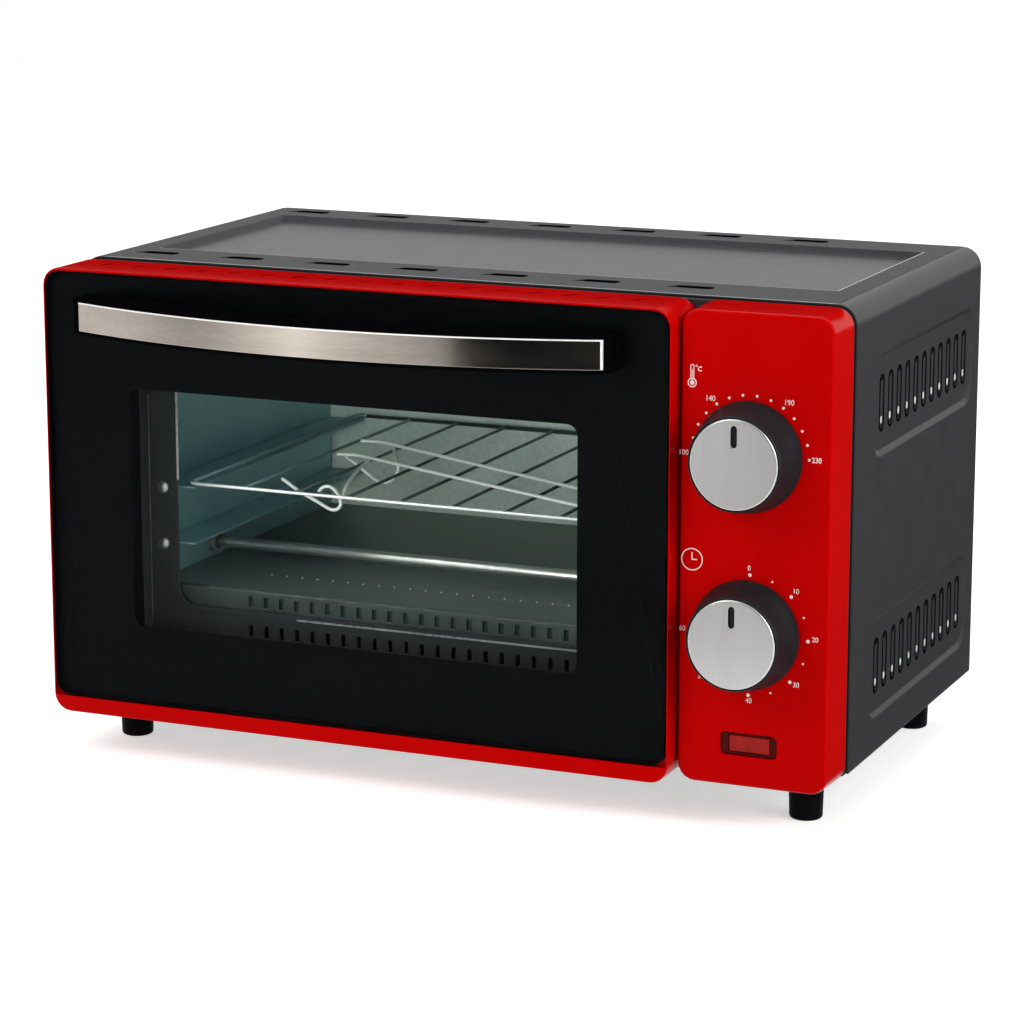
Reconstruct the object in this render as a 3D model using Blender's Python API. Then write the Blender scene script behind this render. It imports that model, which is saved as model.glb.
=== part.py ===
"""Mini oven: countertop oven with a drop-down glass door, two knobs, a wire rack and rack tongs.

X runs to the right seen from the front, the front faces -Y, Z is up and the feet stand on Z = 0.
"""
import math

import bmesh
import bpy
from mathutils import Vector

# Overall sizes, in metres
CASE_WIDTH = 0.365
CASE_DEPTH = 0.184
CASE_HEIGHT = 0.200
CASE_CORNER = 0.009
SHEET = 0.0008
GAP = 0.0003
OVERRUN = 0.003
SMALL_ROUND = 0.0006

# Feet
FOOT_HEIGHT = 0.0222
FOOT_BOTTOM_RADIUS = 0.0072
FOOT_TOP_RADIUS = 0.0078
FOOT_EDGE = 0.0012
FOOT_INSET_X = 0.0197
FOOT_FRONT = 0.0042
FOOT_BACK_INSET = 0.0260

# Recess and slots of the casing's top
RECESS_SIDE_INSET = 0.0200
RECESS_FRONT = 0.0345
RECESS_BACK_INSET = 0.0250
RECESS_DEPTH = 0.0030
RECESS_SLOPE = 0.0022
RECESS_CORNER = 0.0020
TOP_SLOTS = 7
TOP_SLOT_OVERHANG = 0.0070
TOP_SLOT_LENGTH = 0.0210
TOP_SLOT_WIDTH = 0.0030
TOP_SLOT_FRONT = 0.0195
TOP_SLOT_BACK_INSET = 0.0115

# Vent fields of the casing's sides
VENT_SLOTS = 11
VENT_FIRST = 0.0400
VENT_LAST_INSET = 0.0210
VENT_WIDTH = 0.0042
VENT_HEIGHT = 0.0222
VENT_DROP_UPPER = 0.0475
VENT_DROP_LOWER = 0.1625
FIELD_HEIGHT = 0.0445
FIELD_FRONT = 0.0255
FIELD_BACK_INSET = 0.0100
FIELD_CORNER = 0.0100
FIELD_DEPTH = 0.0014
FIELD_SLOPE = 0.0022

# Fascia behind the door and the control panel
FASCIA_REACH = 0.0042
FASCIA_RIM = 0.0060
OPENING_BORDER = 0.0145
OPENING_TOP_DROP = 0.0360
OPENING_BOTTOM_DROP = 0.1564
OPENING_CORNER = 0.0080
RAIL_SLOTS = 22
RAIL_SLOT_LEFT_MARGIN = 0.0507
RAIL_SLOT_RIGHT_MARGIN = 0.0316
RAIL_SLOT_WIDTH = 0.0022
RAIL_SLOT_HEIGHT = 0.0056
RAIL_SLOT_DROP = 0.1653

# Oven chamber
CHAMBER_LEFT_INSET = 0.0335
CHAMBER_RIGHT_INSET = 0.0875
CHAMBER_TOP_DROP = 0.0240
CHAMBER_FLOOR_DROP = 0.1475
CHAMBER_BACK_INSET = 0.0030
CHAMBER_SKIRT = 0.0030
RISER_HEIGHT = 0.0100
RISER_SLOT_HEIGHT = 0.0050
RISER_SLOT_SHIFT = 0.0021

# Rack runners and their rivets
RACK_DROP = 0.1010
RUNNER_STEP = 0.0260
RUNNER_OVERLAP = 0.0038
RUNNER_FRONT = 0.0020
RUNNER_BACK_INSET = 0.0060
RIVET_HEAD_RADIUS = 0.0030
RIVET_HEAD_HEIGHT = 0.0016
RIVET_SHANK_RADIUS = 0.0013

# Wire rack
RACK_SIDE_CLEARANCE = 0.0160
RACK_BACK_INSET = 0.0050
RACK_CORNER = 0.0060
FRAME_WIRE_RADIUS = 0.0015
ROD_RADIUS = 0.0012
ROD_COUNT = 7
ROD_PITCH_SHARE = 0.1208

# Rack tongs
TONGS_WIRE_RADIUS = 0.0011
TONGS_HANDLE_ANGLE = -25.0
TONGS_HOOK_TURN = 250.0
TONGS_HANDLE_WIDTH = 0.0255
TONGS_LEFT_Y = 0.0880
TONGS_TIP_LENGTH = 0.0090
TONGS_BEND = 0.0090
TONGS_HOOK_Y = 0.0180
TONGS_HOOK_STEP = 0.0560
TONGS_HOOK_RUN = 0.0170
TONGS_HOOK_DROP = 0.0048
TONGS_HANDLE_SHARE = 0.774
TONGS_LEFT_SHARE = -0.285
TONGS_BAR_SHARE = 0.672
TONGS_LOOP_SHARE = 0.360
TONGS_LOOP_RADIUS_SHARE = 0.164

# Heaters
HEATER_RADIUS = 0.00325
HEATER_LOW_DROP = 0.1405
HEATER_LOW_DEPTH = 0.0560
HEATER_HIGH_DROP = 0.0370
HEATER_HIGH_DEPTH = 0.0900
CAP_RADIUS = 0.0048
CAP_FLANGE_RADIUS = 0.0066
CAP_FLANGE = 0.0030
CAP_LENGTH = 0.0130

# Door
DOOR_REACH = 0.0360
DOOR_EDGE = 0.0004
DOOR_BACK = 0.0057
DOOR_TOP_DROP = 0.0005
DOOR_BOTTOM_DROP = 0.2030
FRONT_CORNER = 0.0080
MOULDING = 0.0025
DOOR_RIM_SIDE = 0.0008
DOOR_RIM_TOP = 0.0014
DOOR_LIP = 0.0074
GLASS_THICKNESS = 0.0030
GLASS_TOP_CORNER = 0.0070
GLASS_BOTTOM_CORNER = 0.0010
LEDGE = 0.0080
LEDGE_THICKNESS = 0.0020
DOOR_HEEL_CUT = 0.0040
DOOR_VENTS = 17
DOOR_VENT_MARGIN = 0.0220
DOOR_VENT_LENGTH = 0.0090
DOOR_VENT_WIDTH = 0.0011
DOOR_VENT_SLANT = 0.0050
DOOR_VENT_DEPTH = 0.0180
LINER_REACH = 0.0080
LINER_BORDER = 0.0354
LINER_OPENING_TOP_DROP = 0.0440
LINER_OPENING_BOTTOM_DROP = 0.1730
LINER_COLLAR = 0.0060
LINER_CORNER = 0.0060

# Handle
HANDLE_REACH = 0.0700
HANDLE_END_REACH = 0.0470
HANDLE_END_MARGIN = 0.0219
HANDLE_FOOT = 0.0255
HANDLE_THICKNESS = 0.0130
HANDLE_TOP_DROP = 0.0115
HANDLE_HEIGHT = 0.0158
STRIP_MARGIN = 0.0015
STRIP_END_MARGIN = 0.0030
STRIP_THICKNESS = 0.0008
HANDLE_SCREW_INSET = 0.0125
HANDLE_SCREW_RADIUS = 0.0020
HANDLE_SCREW_HEAD = 0.0040
HANDLE_SCREW_HEAD_HEIGHT = 0.0022
HANDLE_SCREW_BITE = 0.0080

# Hinges
HINGE_REACH = 0.0132
HINGE_DROP = 0.1960
HINGE_INSET = 0.0174
EAR_THICKNESS = 0.0015
EAR_RADIUS = 0.0040
EAR_PLATE_WIDTH = 0.0160
EAR_PLATE_HEIGHT = 0.0220
EAR_CLEARANCE = 0.0005
PIN_RADIUS = 0.0020
KNUCKLE_WIDTH = 0.0060
KNUCKLE_HALF_DEPTH = 0.0042
KNUCKLE_RISE = 0.0042
SPRING_TURNS = 4
SPRING_WIRE_RADIUS = 0.00045
SPRING_RADIUS = 0.0029
SPRING_PITCH = 0.0012

# Control panel
PANEL_WIDTH = 0.0672
PANEL_GAP = 0.0009
PANEL_REACH = 0.0280
PANEL_DRAFT = 0.0006
PANEL_EDGE = 0.0016
KNOB_INSET = 0.0365
THERMOSTAT_DROP = 0.0609
TIMER_DROP = 0.1363
SHAFT_RADIUS = 0.0030
SHAFT_HOLE_CLEARANCE = 0.0015
LAMP_INSET = 0.0350
LAMP_RISE = 0.0189
LAMP_WIDTH = 0.0252
LAMP_HEIGHT = 0.0101
LAMP_CORNER = 0.0024
LAMP_RECESS = 0.0012
LENS_WIDTH = 0.0178
LENS_HEIGHT = 0.0068
LENS_RIBS = 12
LENS_RIB_DEPTH = 0.0003
BEZEL_DEPTH = 0.0040
LAMP_RADIUS = 0.0031
LAMP_LENGTH = 0.0225

# Knobs
KNOB_BASE_RADIUS = 0.0234
KNOB_FRONT_RADIUS = 0.0201
KNOB_HEIGHT = 0.0182
KNOB_LIFT = 0.0006
KNOB_WALL = 0.0018
KNOB_SKIRT = 0.0022
KNOB_BOSS_RADIUS = 0.0056
KNOB_FRONT_THICKNESS = 0.0030
DISC_RADIUS = 0.0191
DISC_THICKNESS = 0.0010
DISC_PROUD = 0.0004
DISC_CHAMFER = 0.0005
MARK_WIDTH = 0.0028
MARK_LENGTH = 0.0094
MARK_OFFSET = 0.0116

# Thermostat and timer behind the fascia
DEVICE_WIDTH = 0.0340
THERMOSTAT_HEIGHT = 0.0300
TIMER_HEIGHT = 0.0420
DEVICE_DEPTH = 0.0180
BUSH_RADIUS = 0.0046
BUSH_LENGTH = 0.0150
BUSH_BORE_DEPTH = 0.0190

# Back panel and cord bushing
BACK_SHEET = 0.0010
BACK_SLOTS = 9
BACK_SLOT_PITCH = 0.0120
BACK_SLOT_WIDTH = 0.0040
BACK_SLOT_HEIGHT = 0.0260
BACK_SLOT_RISE = 0.1450
BUSHING_INSET = 0.0475
BUSHING_RISE = 0.0280
BUSHING_RADIUS = 0.0070
BUSHING_NECK_RADIUS = 0.0050
BUSHING_BORE_RADIUS = 0.0034
BUSHING_REACH = 0.0060
BASE_RIM = 0.0080
BASE_SLOTS = 8
BASE_SLOT_PITCH = 0.0240
BASE_SLOT_LENGTH = 0.0400
BASE_SLOT_WIDTH = 0.0040

# Radius and height shares of a domed rivet or screw head
DOME_SHARES = ((0.2, 1.0), (0.7, 0.75), (0.93, 0.4), (1.0, 0.0))

# Segment counts
ARC_STEPS = 5
ROUND_STEPS = 32
KNOB_STEPS = 48
SMALL_STEPS = 16
WIRE_SIDES = 8
THIN_SIDES = 5
TURN_STEPS = 12
HANDLE_STEPS = 20

# Places worked out from the sizes above
CASE_SIDE = CASE_WIDTH / 2
CASE_BOTTOM = FOOT_HEIGHT + GAP
CASE_TOP = CASE_BOTTOM + CASE_HEIGHT
FRONT_Y = (HANDLE_REACH - CASE_DEPTH - BUSHING_REACH) / 2
BACK_Y = FRONT_Y + CASE_DEPTH
FASCIA_FRONT_Y = FRONT_Y - FASCIA_REACH
FASCIA_BACK_Y = FASCIA_FRONT_Y + SHEET
CHAMBER_FRONT_Y = FASCIA_BACK_Y + GAP
CHAMBER_BACK_Y = BACK_Y - CHAMBER_BACK_INSET
CHAMBER_LEFT = CHAMBER_LEFT_INSET - CASE_SIDE
CHAMBER_RIGHT = CASE_SIDE - CHAMBER_RIGHT_INSET
CHAMBER_CENTRE_X = (CHAMBER_LEFT + CHAMBER_RIGHT) / 2
CHAMBER_CEILING = CASE_TOP - CHAMBER_TOP_DROP
CHAMBER_FLOOR = CASE_TOP - CHAMBER_FLOOR_DROP
OPENING_LEFT = CHAMBER_LEFT + OPENING_BORDER
OPENING_RIGHT = CHAMBER_RIGHT - OPENING_BORDER
RAIL_SLOT_FIRST_X = CHAMBER_LEFT + RAIL_SLOT_LEFT_MARGIN
RAIL_SLOT_PITCH = (CHAMBER_RIGHT - RAIL_SLOT_RIGHT_MARGIN - RAIL_SLOT_FIRST_X) / (RAIL_SLOTS - 1)
RACK_WIDTH = CHAMBER_RIGHT - CHAMBER_LEFT - 2 * RACK_SIDE_CLEARANCE
ROD_PITCH = RACK_WIDTH * ROD_PITCH_SHARE
ROD_FIRST_X = CHAMBER_CENTRE_X - ROD_PITCH * (ROD_COUNT - 1) / 2
DOOR_LEFT = -CASE_SIDE
DOOR_RIGHT = CASE_SIDE - PANEL_WIDTH - PANEL_GAP
DOOR_CENTRE_X = (DOOR_LEFT + DOOR_RIGHT) / 2
DOOR_VENT_PITCH = (DOOR_RIGHT - DOOR_LEFT - 2 * DOOR_VENT_MARGIN) / (DOOR_VENTS - 1)
DOOR_FRONT_Y = FRONT_Y - DOOR_REACH
DOOR_BACK_Y = FRONT_Y - DOOR_BACK
DOOR_TOP = CASE_TOP - DOOR_TOP_DROP
DOOR_BOTTOM = CASE_TOP - DOOR_BOTTOM_DROP
GLASS_BACK_Y = DOOR_FRONT_Y + GLASS_THICKNESS
HANDLE_HALF_LENGTH = (DOOR_RIGHT - DOOR_LEFT) / 2 - HANDLE_END_MARGIN
PANEL_LEFT = DOOR_RIGHT + PANEL_GAP
PANEL_FRONT_Y = FRONT_Y - PANEL_REACH
PANEL_BACK_Y = FASCIA_FRONT_Y - GAP
KNOB_X = CASE_SIDE - KNOB_INSET
LAMP_X = CASE_SIDE - LAMP_INSET
LAMP_Z = DOOR_BOTTOM + LAMP_RISE
BUSHING_X = CASE_SIDE - BUSHING_INSET
HINGE_Y = FRONT_Y - HINGE_REACH
HINGE_Z = CASE_TOP - HINGE_DROP
RACK_Z = CASE_TOP - RACK_DROP
BACK_PANEL_FRONT_Y = BACK_Y - BACK_SHEET

HINGE_X = (DOOR_LEFT + HINGE_INSET, DOOR_RIGHT - HINGE_INSET)
RIVET_PLACES = [
    (x, RACK_Z - FRAME_WIRE_RADIUS - step * RUNNER_STEP)
    for x in ((CHAMBER_LEFT + OPENING_LEFT) / 2, (CHAMBER_RIGHT + OPENING_RIGHT) / 2) for step in (0, 1)
]
HEATER_PLACES = [
    (FRONT_Y + HEATER_LOW_DEPTH, CASE_TOP - HEATER_LOW_DROP),
    (FRONT_Y + HEATER_HIGH_DEPTH, CASE_TOP - HEATER_HIGH_DROP),
]

# Colours, roughness and metallic share of each material
FINISHES = {
    "grey_paint": ((0.048, 0.050, 0.052), 0.45, 0.3),
    "black_paint": ((0.012, 0.012, 0.014), 0.45, 0.0),
    "chamber_steel": ((0.16, 0.18, 0.18), 0.35, 0.8),
    "bright_steel": ((0.62, 0.60, 0.57), 0.25, 1.0),
    "brushed_steel": ((0.56, 0.53, 0.49), 0.32, 1.0),
    "red_gloss": ((0.60, 0.004, 0.006), 0.22, 0.0),
    "black_plastic": ((0.012, 0.012, 0.014), 0.35, 0.0),
    "door_glass": ((0.020, 0.022, 0.026), 0.05, 0.0),
    "red_lens": ((0.55, 0.02, 0.02), 0.25, 0.0),
    "heater_metal": ((0.45, 0.45, 0.44), 0.35, 1.0),
    "ceramic": ((0.80, 0.78, 0.72), 0.60, 0.0),
    "rubber": ((0.015, 0.015, 0.016), 0.75, 0.0),
}


def finish(name):
    """Return the named material, made on first use."""
    found = bpy.data.materials.get(name)
    if found:
        return found
    colour, roughness, metallic = FINISHES[name]
    made = bpy.data.materials.new(name)
    made.use_nodes = True
    shader = made.node_tree.nodes["Principled BSDF"]
    shader.inputs["Base Color"].default_value = (*colour, 1.0)
    shader.inputs["Roughness"].default_value = roughness
    shader.inputs["Metallic"].default_value = metallic
    made.diffuse_color = (*colour, 1.0)
    return made


def arc(centre, radius, start, end, steps):
    """Points of an arc in degrees, both ends included."""
    points = []
    for step in range(steps + 1):
        angle = math.radians(start + (end - start) * step / steps)
        points.append((centre[0] + radius * math.cos(angle), centre[1] + radius * math.sin(angle)))
    return points


def rounded(left, right, low, high, low_radius, high_radius, steps=ARC_STEPS):
    """Outline of a rectangle with its lower and its upper corners rounded."""
    corners = (
        (left, low, low_radius, 180),
        (right, low, low_radius, 270),
        (right, high, high_radius, 0),
        (left, high, high_radius, 90),
    )
    outline = []
    for a, b, radius, start in corners:
        if radius <= 0:
            outline.append((a, b))
            continue
        inward_a = radius if a == left else -radius
        inward_b = radius if b == low else -radius
        outline += arc((a + inward_a, b + inward_b), radius, start, start + 90, steps)
    return outline


def circle(centre, radius, steps=ROUND_STEPS):
    """Outline of a full circle."""
    return arc(centre, radius, 0, 360, steps)[:-1]


def placed(point, axis, along):
    """Put a point of a flat outline at a place along the named axis."""
    a, b = point
    if axis == "x":
        return Vector((along, a, b))
    if axis == "y":
        return Vector((a, along, b))
    return Vector((a, b, along))


def loft(rings):
    """Closed solid through rings of equal point count, capped at both ends."""
    count = len(rings[0])
    points = [point for ring in rings for point in ring]
    faces = [tuple(range(count))]
    for level in range(len(rings) - 1):
        base = level * count
        for side in range(count):
            after = (side + 1) % count
            faces.append((base + side, base + after, base + count + after, base + count + side))
    last = (len(rings) - 1) * count
    faces.append(tuple(range(last, last + count)))
    return points, faces


def prism(outline, axis, low, high):
    """Flat outline pushed straight along an axis."""
    return loft([[placed(point, axis, along) for point in outline] for along in (low, high)])


def block(x, y, z):
    """Box between pairs of limits."""
    return prism([(x[0], y[0]), (x[1], y[0]), (x[1], y[1]), (x[0], y[1])], "z", *z)


def turned(profile, centre, axis="y", steps=ROUND_STEPS):
    """Solid of revolution from (radius, place along the axis) pairs; both ends are flat discs."""
    rings = []
    for radius, along in profile:
        rings.append([placed(point, axis, along) for point in circle(centre, radius, steps)])
    return loft(rings)


def ring_solid(profile, centre, axis="y", steps=ROUND_STEPS):
    """Turned solid with an open bore, from a closed (radius, along) profile."""
    rings = []
    for radius, along in profile:
        rings.append([placed(point, axis, along) for point in circle(centre, radius, steps)])
    points = [point for ring in rings for point in ring]
    faces = []
    for level in range(len(rings)):
        base = level * steps
        upper = (level + 1) % len(rings) * steps
        for side in range(steps):
            after = (side + 1) % steps
            faces.append((base + side, base + after, upper + after, upper + side))
    return points, faces


def filleted(corners, radius, steps=ARC_STEPS, closed=False):
    """Round the inner corners of a path of 3-D points."""
    path = []
    count = len(corners)
    for index, corner in enumerate(corners):
        corner = Vector(corner)
        if not closed and index in (0, count - 1):
            path.append(corner)
            continue
        before = (Vector(corners[index - 1]) - corner).normalized()
        after = (Vector(corners[(index + 1) % count]) - corner).normalized()
        half = before.angle(after) / 2
        reach = radius / math.tan(half)
        centre = corner + (before + after).normalized() * radius / math.sin(half)
        start = (corner + before * reach - centre).normalized()
        end = (corner + after * reach - centre).normalized()
        for step in range(steps + 1):
            path.append(centre + start.slerp(end, step / steps) * radius)
    return path


def tube(path, radius, sides=WIRE_SIDES, closed=False):
    """Round wire along a path of 3-D points."""
    count = len(path)
    rings = []
    normal = None
    for index, point in enumerate(path):
        before = path[index - 1] if closed or index > 0 else point
        after = path[(index + 1) % count] if closed or index < count - 1 else point
        heading = (Vector(after) - Vector(before)).normalized()
        if normal is None:
            normal = heading.orthogonal().normalized()
        normal = (normal - heading * normal.dot(heading)).normalized()
        across = heading.cross(normal)
        ring = []
        for side in range(sides):
            angle = 2 * math.pi * side / sides
            ring.append(Vector(point) + (normal * math.cos(angle) + across * math.sin(angle)) * radius)
        rings.append(ring)
    if not closed:
        return loft(rings)
    points = [corner for ring in rings for corner in ring]
    faces = []
    for level in range(count):
        base = level * sides
        upper = (level + 1) % count * sides
        for side in range(sides):
            turn = (side + 1) % sides
            faces.append((base + side, base + turn, upper + turn, upper + side))
    return points, faces


def make(name, solids, finish_name=None, smooth_degrees=40):
    """Mesh object from one or more closed solids, with its faces turned outward."""
    mesh = bpy.data.meshes.new(name)
    work = bmesh.new()
    for points, faces in solids:
        made = [work.verts.new(point) for point in points]
        for face in faces:
            work.faces.new([made[index] for index in face])
    bmesh.ops.recalc_face_normals(work, faces=work.faces)
    work.to_mesh(mesh)
    work.free()
    for polygon in mesh.polygons:
        polygon.use_smooth = True
    mesh.set_sharp_from_angle(angle=math.radians(smooth_degrees))
    thing = bpy.data.objects.new(name, mesh)
    bpy.context.scene.collection.objects.link(thing)
    if finish_name:
        mesh.materials.append(finish(finish_name))
    return thing


def combine(target, solids, operation, label):
    """Add or take away solids with an exact Boolean."""
    tool = make(f"{target.name}_{label}", solids)
    tool.hide_render = True
    tool.display_type = "WIRE"
    step = target.modifiers.new(label, "BOOLEAN")
    step.operation = operation
    step.solver = "EXACT"
    step.object = tool


def cut(target, solids, label="cut"):
    combine(target, solids, "DIFFERENCE", label)


def add(target, solids, label="add"):
    combine(target, solids, "UNION", label)


def axis_empty(name, place):
    """Parent empty standing on a joint axis."""
    empty = bpy.data.objects.new(name, None)
    empty.location = place
    bpy.context.scene.collection.objects.link(empty)
    return empty


def hang_on(empty, things):
    """Parent objects to an empty and keep them in place, with their modifiers' tools."""
    for thing in things:
        thing.location -= empty.location
        thing.parent = empty
        for step in thing.modifiers:
            if step.type == "BOOLEAN":
                step.object.location -= empty.location
                step.object.parent = empty


def box_outline(a, b, width, height):
    """Rectangle about a middle point."""
    return [(a - width / 2, b - height / 2), (a + width / 2, b - height / 2),
            (a + width / 2, b + height / 2), (a - width / 2, b + height / 2)]


def slot(a, b, width, height):
    """Round-ended slot about a middle point."""
    radius = min(width, height) / 2
    return rounded(a - width / 2, a + width / 2, b - height / 2, b + height / 2, radius, radius, 2)


def centred(a, b, width, height, corner):
    """Rounded rectangle about a middle point."""
    return rounded(a - width / 2, a + width / 2, b - height / 2, b + height / 2, corner, corner)


def grown(limits, margin, low_radius, high_radius):
    """Rounded outline of limits (left, right, low, high) grown by a margin."""
    return rounded(limits[0] - margin, limits[1] + margin, limits[2] - margin, limits[3] + margin,
                   low_radius, high_radius)


def moulding(left, right, front, back, edge, draft):
    """Solid of a front moulding, with a softened front edge and a slight draft."""
    rings = []
    for step in range(4):
        angle = math.radians(30 * step)
        inset = draft + edge * (1 - math.sin(angle))
        level = front + edge * (1 - math.cos(angle))
        rings.append((inset, level))
    rings.append((0, back))
    return loft([[placed(point, "y", level) for point in
                  rounded(left + inset, right - inset, DOOR_BOTTOM + inset, DOOR_TOP - inset,
                          FRONT_CORNER - inset, FRONT_CORNER - inset)] for inset, level in rings])


def slot_row(count, first, pitch, width, height, level):
    """Round-ended slots side by side along the outline's first axis."""
    return [slot(first + index * pitch, level, width, height) for index in range(count)]


def casing_outline(inset):
    """Half-round-cornered arch of the casing at an inset from its outside."""
    side = CASE_SIDE - inset
    top = CASE_TOP - inset
    corner = CASE_CORNER - inset
    outline = [(side, CASE_BOTTOM)]
    outline += arc((side - corner, top - corner), corner, 0, 90, ARC_STEPS + 1)
    outline += arc((corner - side, top - corner), corner, 90, 180, ARC_STEPS + 1)
    outline.append((-side, CASE_BOTTOM))
    return outline


def pressing(limits, corner, slope, axis, levels, grow):
    """Tapered solid through levels along an axis; only its last level is smaller, by the slope."""
    rings = []
    for index, level in enumerate(levels):
        shrink = (slope if index == len(levels) - 1 else 0) - grow
        radius = max(corner - shrink, SMALL_ROUND)
        shape = rounded(limits[0] + shrink, limits[1] - shrink,
                        limits[2] + shrink, limits[3] - shrink, radius, radius, 3)
        rings.append([placed(point, axis, level) for point in shape])
    return loft(rings)


def build_casing():
    """Folded steel wrap of the top and both sides, with a pressed recess and vent fields."""
    outline = casing_outline(0) + casing_outline(SHEET)[::-1]
    casing = make("outer_casing", [prism(outline, "y", FRONT_Y, BACK_Y)], "grey_paint", 25)

    recess = (RECESS_SIDE_INSET - CASE_SIDE, CASE_SIDE - RECESS_SIDE_INSET,
              FRONT_Y + RECESS_FRONT, BACK_Y - RECESS_BACK_INSET)
    backing = [pressing(recess, RECESS_CORNER, RECESS_SLOPE, "z",
                        (CASE_TOP - SHEET / 2, CASE_TOP - RECESS_DEPTH - SHEET), SHEET)]
    hollows = [pressing(recess, RECESS_CORNER, RECESS_SLOPE, "z",
                        (CASE_TOP + OVERRUN, CASE_TOP, CASE_TOP - RECESS_DEPTH), 0)]
    slots = []
    for drop in (VENT_DROP_UPPER, VENT_DROP_LOWER):
        middle = CASE_TOP - drop
        field = (FRONT_Y + FIELD_FRONT, BACK_Y - FIELD_BACK_INSET,
                 middle - FIELD_HEIGHT / 2, middle + FIELD_HEIGHT / 2)
        pitch = (CASE_DEPTH - VENT_FIRST - VENT_LAST_INSET) / (VENT_SLOTS - 1)
        rows = slot_row(VENT_SLOTS, FRONT_Y + VENT_FIRST, pitch, VENT_WIDTH, VENT_HEIGHT, middle)
        for side in (-1, 1):
            skin = side * CASE_SIDE
            floor = side * (CASE_SIDE - FIELD_DEPTH)
            backing.append(pressing(field, FIELD_CORNER, FIELD_SLOPE, "x",
                                    (skin - side * SHEET / 2, floor - side * SHEET), SHEET))
            hollows.append(pressing(field, FIELD_CORNER, FIELD_SLOPE, "x",
                                    (skin + side * OVERRUN, skin, floor), 0))
            slots += [prism(row, "x", skin + side * OVERRUN, floor - side * OVERRUN) for row in rows]
    add(casing, backing, "pressings")
    cut(casing, hollows, "hollows")

    first = CHAMBER_LEFT - TOP_SLOT_OVERHANG
    pitch = (CHAMBER_RIGHT + TOP_SLOT_OVERHANG - first) / (TOP_SLOTS - 1)
    for place in (FRONT_Y + TOP_SLOT_FRONT, BACK_Y - TOP_SLOT_BACK_INSET):
        slots += [prism(outline, "z", CASE_TOP - OVERRUN, CASE_TOP + OVERRUN)
                  for outline in slot_row(TOP_SLOTS, first, pitch, TOP_SLOT_LENGTH, TOP_SLOT_WIDTH, place)]
    cut(casing, slots, "slots")
    return casing


def build_base():
    """Folded base tray with cooling slots and its four feet."""
    side = CASE_SIDE - SHEET - GAP
    front = FRONT_Y + FASCIA_RIM + GAP
    back = BACK_PANEL_FRONT_Y - GAP
    base = make("base_tray", [block((-side, side), (front, back), (CASE_BOTTOM, CASE_BOTTOM + BASE_RIM))],
                "grey_paint")
    cut(base, [block((SHEET - side, side - SHEET), (front + SHEET, back - SHEET),
                     (CASE_BOTTOM + SHEET, CASE_BOTTOM + BASE_RIM + OVERRUN))], "inside")
    first = -BASE_SLOT_PITCH * (BASE_SLOTS - 1) / 2
    middle = (front + back) / 2
    cut(base, [prism(slot(first + index * BASE_SLOT_PITCH, middle, BASE_SLOT_WIDTH, BASE_SLOT_LENGTH),
                     "z", CASE_BOTTOM - OVERRUN, CASE_BOTTOM + OVERRUN) for index in range(BASE_SLOTS)],
        "slots")
    things = [base]
    for side_name, x in (("left", FOOT_INSET_X - CASE_SIDE), ("right", CASE_SIDE - FOOT_INSET_X)):
        for end_name, y in (("front", FRONT_Y + FOOT_FRONT), ("rear", BACK_Y - FOOT_BACK_INSET)):
            profile = [
                (FOOT_BOTTOM_RADIUS - FOOT_EDGE, 0),
                (FOOT_BOTTOM_RADIUS - FOOT_EDGE / 4, FOOT_EDGE / 3),
                (FOOT_BOTTOM_RADIUS, FOOT_EDGE),
                (FOOT_TOP_RADIUS, FOOT_HEIGHT),
            ]
            things.append(make(f"foot_{end_name}_{side_name}", [turned(profile, (x, y), "z")], "rubber"))
    return things


def build_back():
    """Back panel with its vents, and the cord bushing in it."""
    side = CASE_SIDE - SHEET - GAP
    corner = CASE_CORNER - SHEET - GAP
    outline = rounded(-side, side, CASE_BOTTOM, CASE_TOP - SHEET - GAP, 0, corner)
    panel = make("back_panel", [prism(outline, "y", BACK_PANEL_FRONT_Y, BACK_Y)], "grey_paint")
    first = CHAMBER_CENTRE_X - BACK_SLOT_PITCH * (BACK_SLOTS - 1) / 2
    rows = slot_row(BACK_SLOTS, first, BACK_SLOT_PITCH, BACK_SLOT_WIDTH, BACK_SLOT_HEIGHT,
                    CASE_BOTTOM + BACK_SLOT_RISE)
    place = (BUSHING_X, CASE_BOTTOM + BUSHING_RISE)
    rows.append(circle(place, BUSHING_NECK_RADIUS + GAP))
    cut(panel, [prism(row, "y", BACK_Y - OVERRUN, BACK_Y + OVERRUN) for row in rows], "vents")

    neck_end = BACK_PANEL_FRONT_Y - GAP
    profile = [
        (BUSHING_BORE_RADIUS, neck_end - BACK_SHEET * 3),
        (BUSHING_RADIUS, neck_end - BACK_SHEET * 3),
        (BUSHING_RADIUS, neck_end),
        (BUSHING_NECK_RADIUS, neck_end),
        (BUSHING_NECK_RADIUS, BACK_Y + GAP),
        (BUSHING_RADIUS, BACK_Y + GAP),
        (BUSHING_RADIUS, BACK_Y + BUSHING_REACH / 3),
        (BUSHING_NECK_RADIUS, BACK_Y + BUSHING_REACH),
        (BUSHING_BORE_RADIUS, BACK_Y + BUSHING_REACH),
    ]
    bushing = make("cord_bushing", [ring_solid(profile, place)], "rubber")
    return [panel, bushing]


def ear_slots(depth_from, depth_to, low, high):
    """Clearance slots for both hinge ears."""
    half = EAR_THICKNESS / 2 + EAR_CLEARANCE
    return [block((x - half, x + half), (depth_from, depth_to), (low, high)) for x in HINGE_X]


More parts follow.
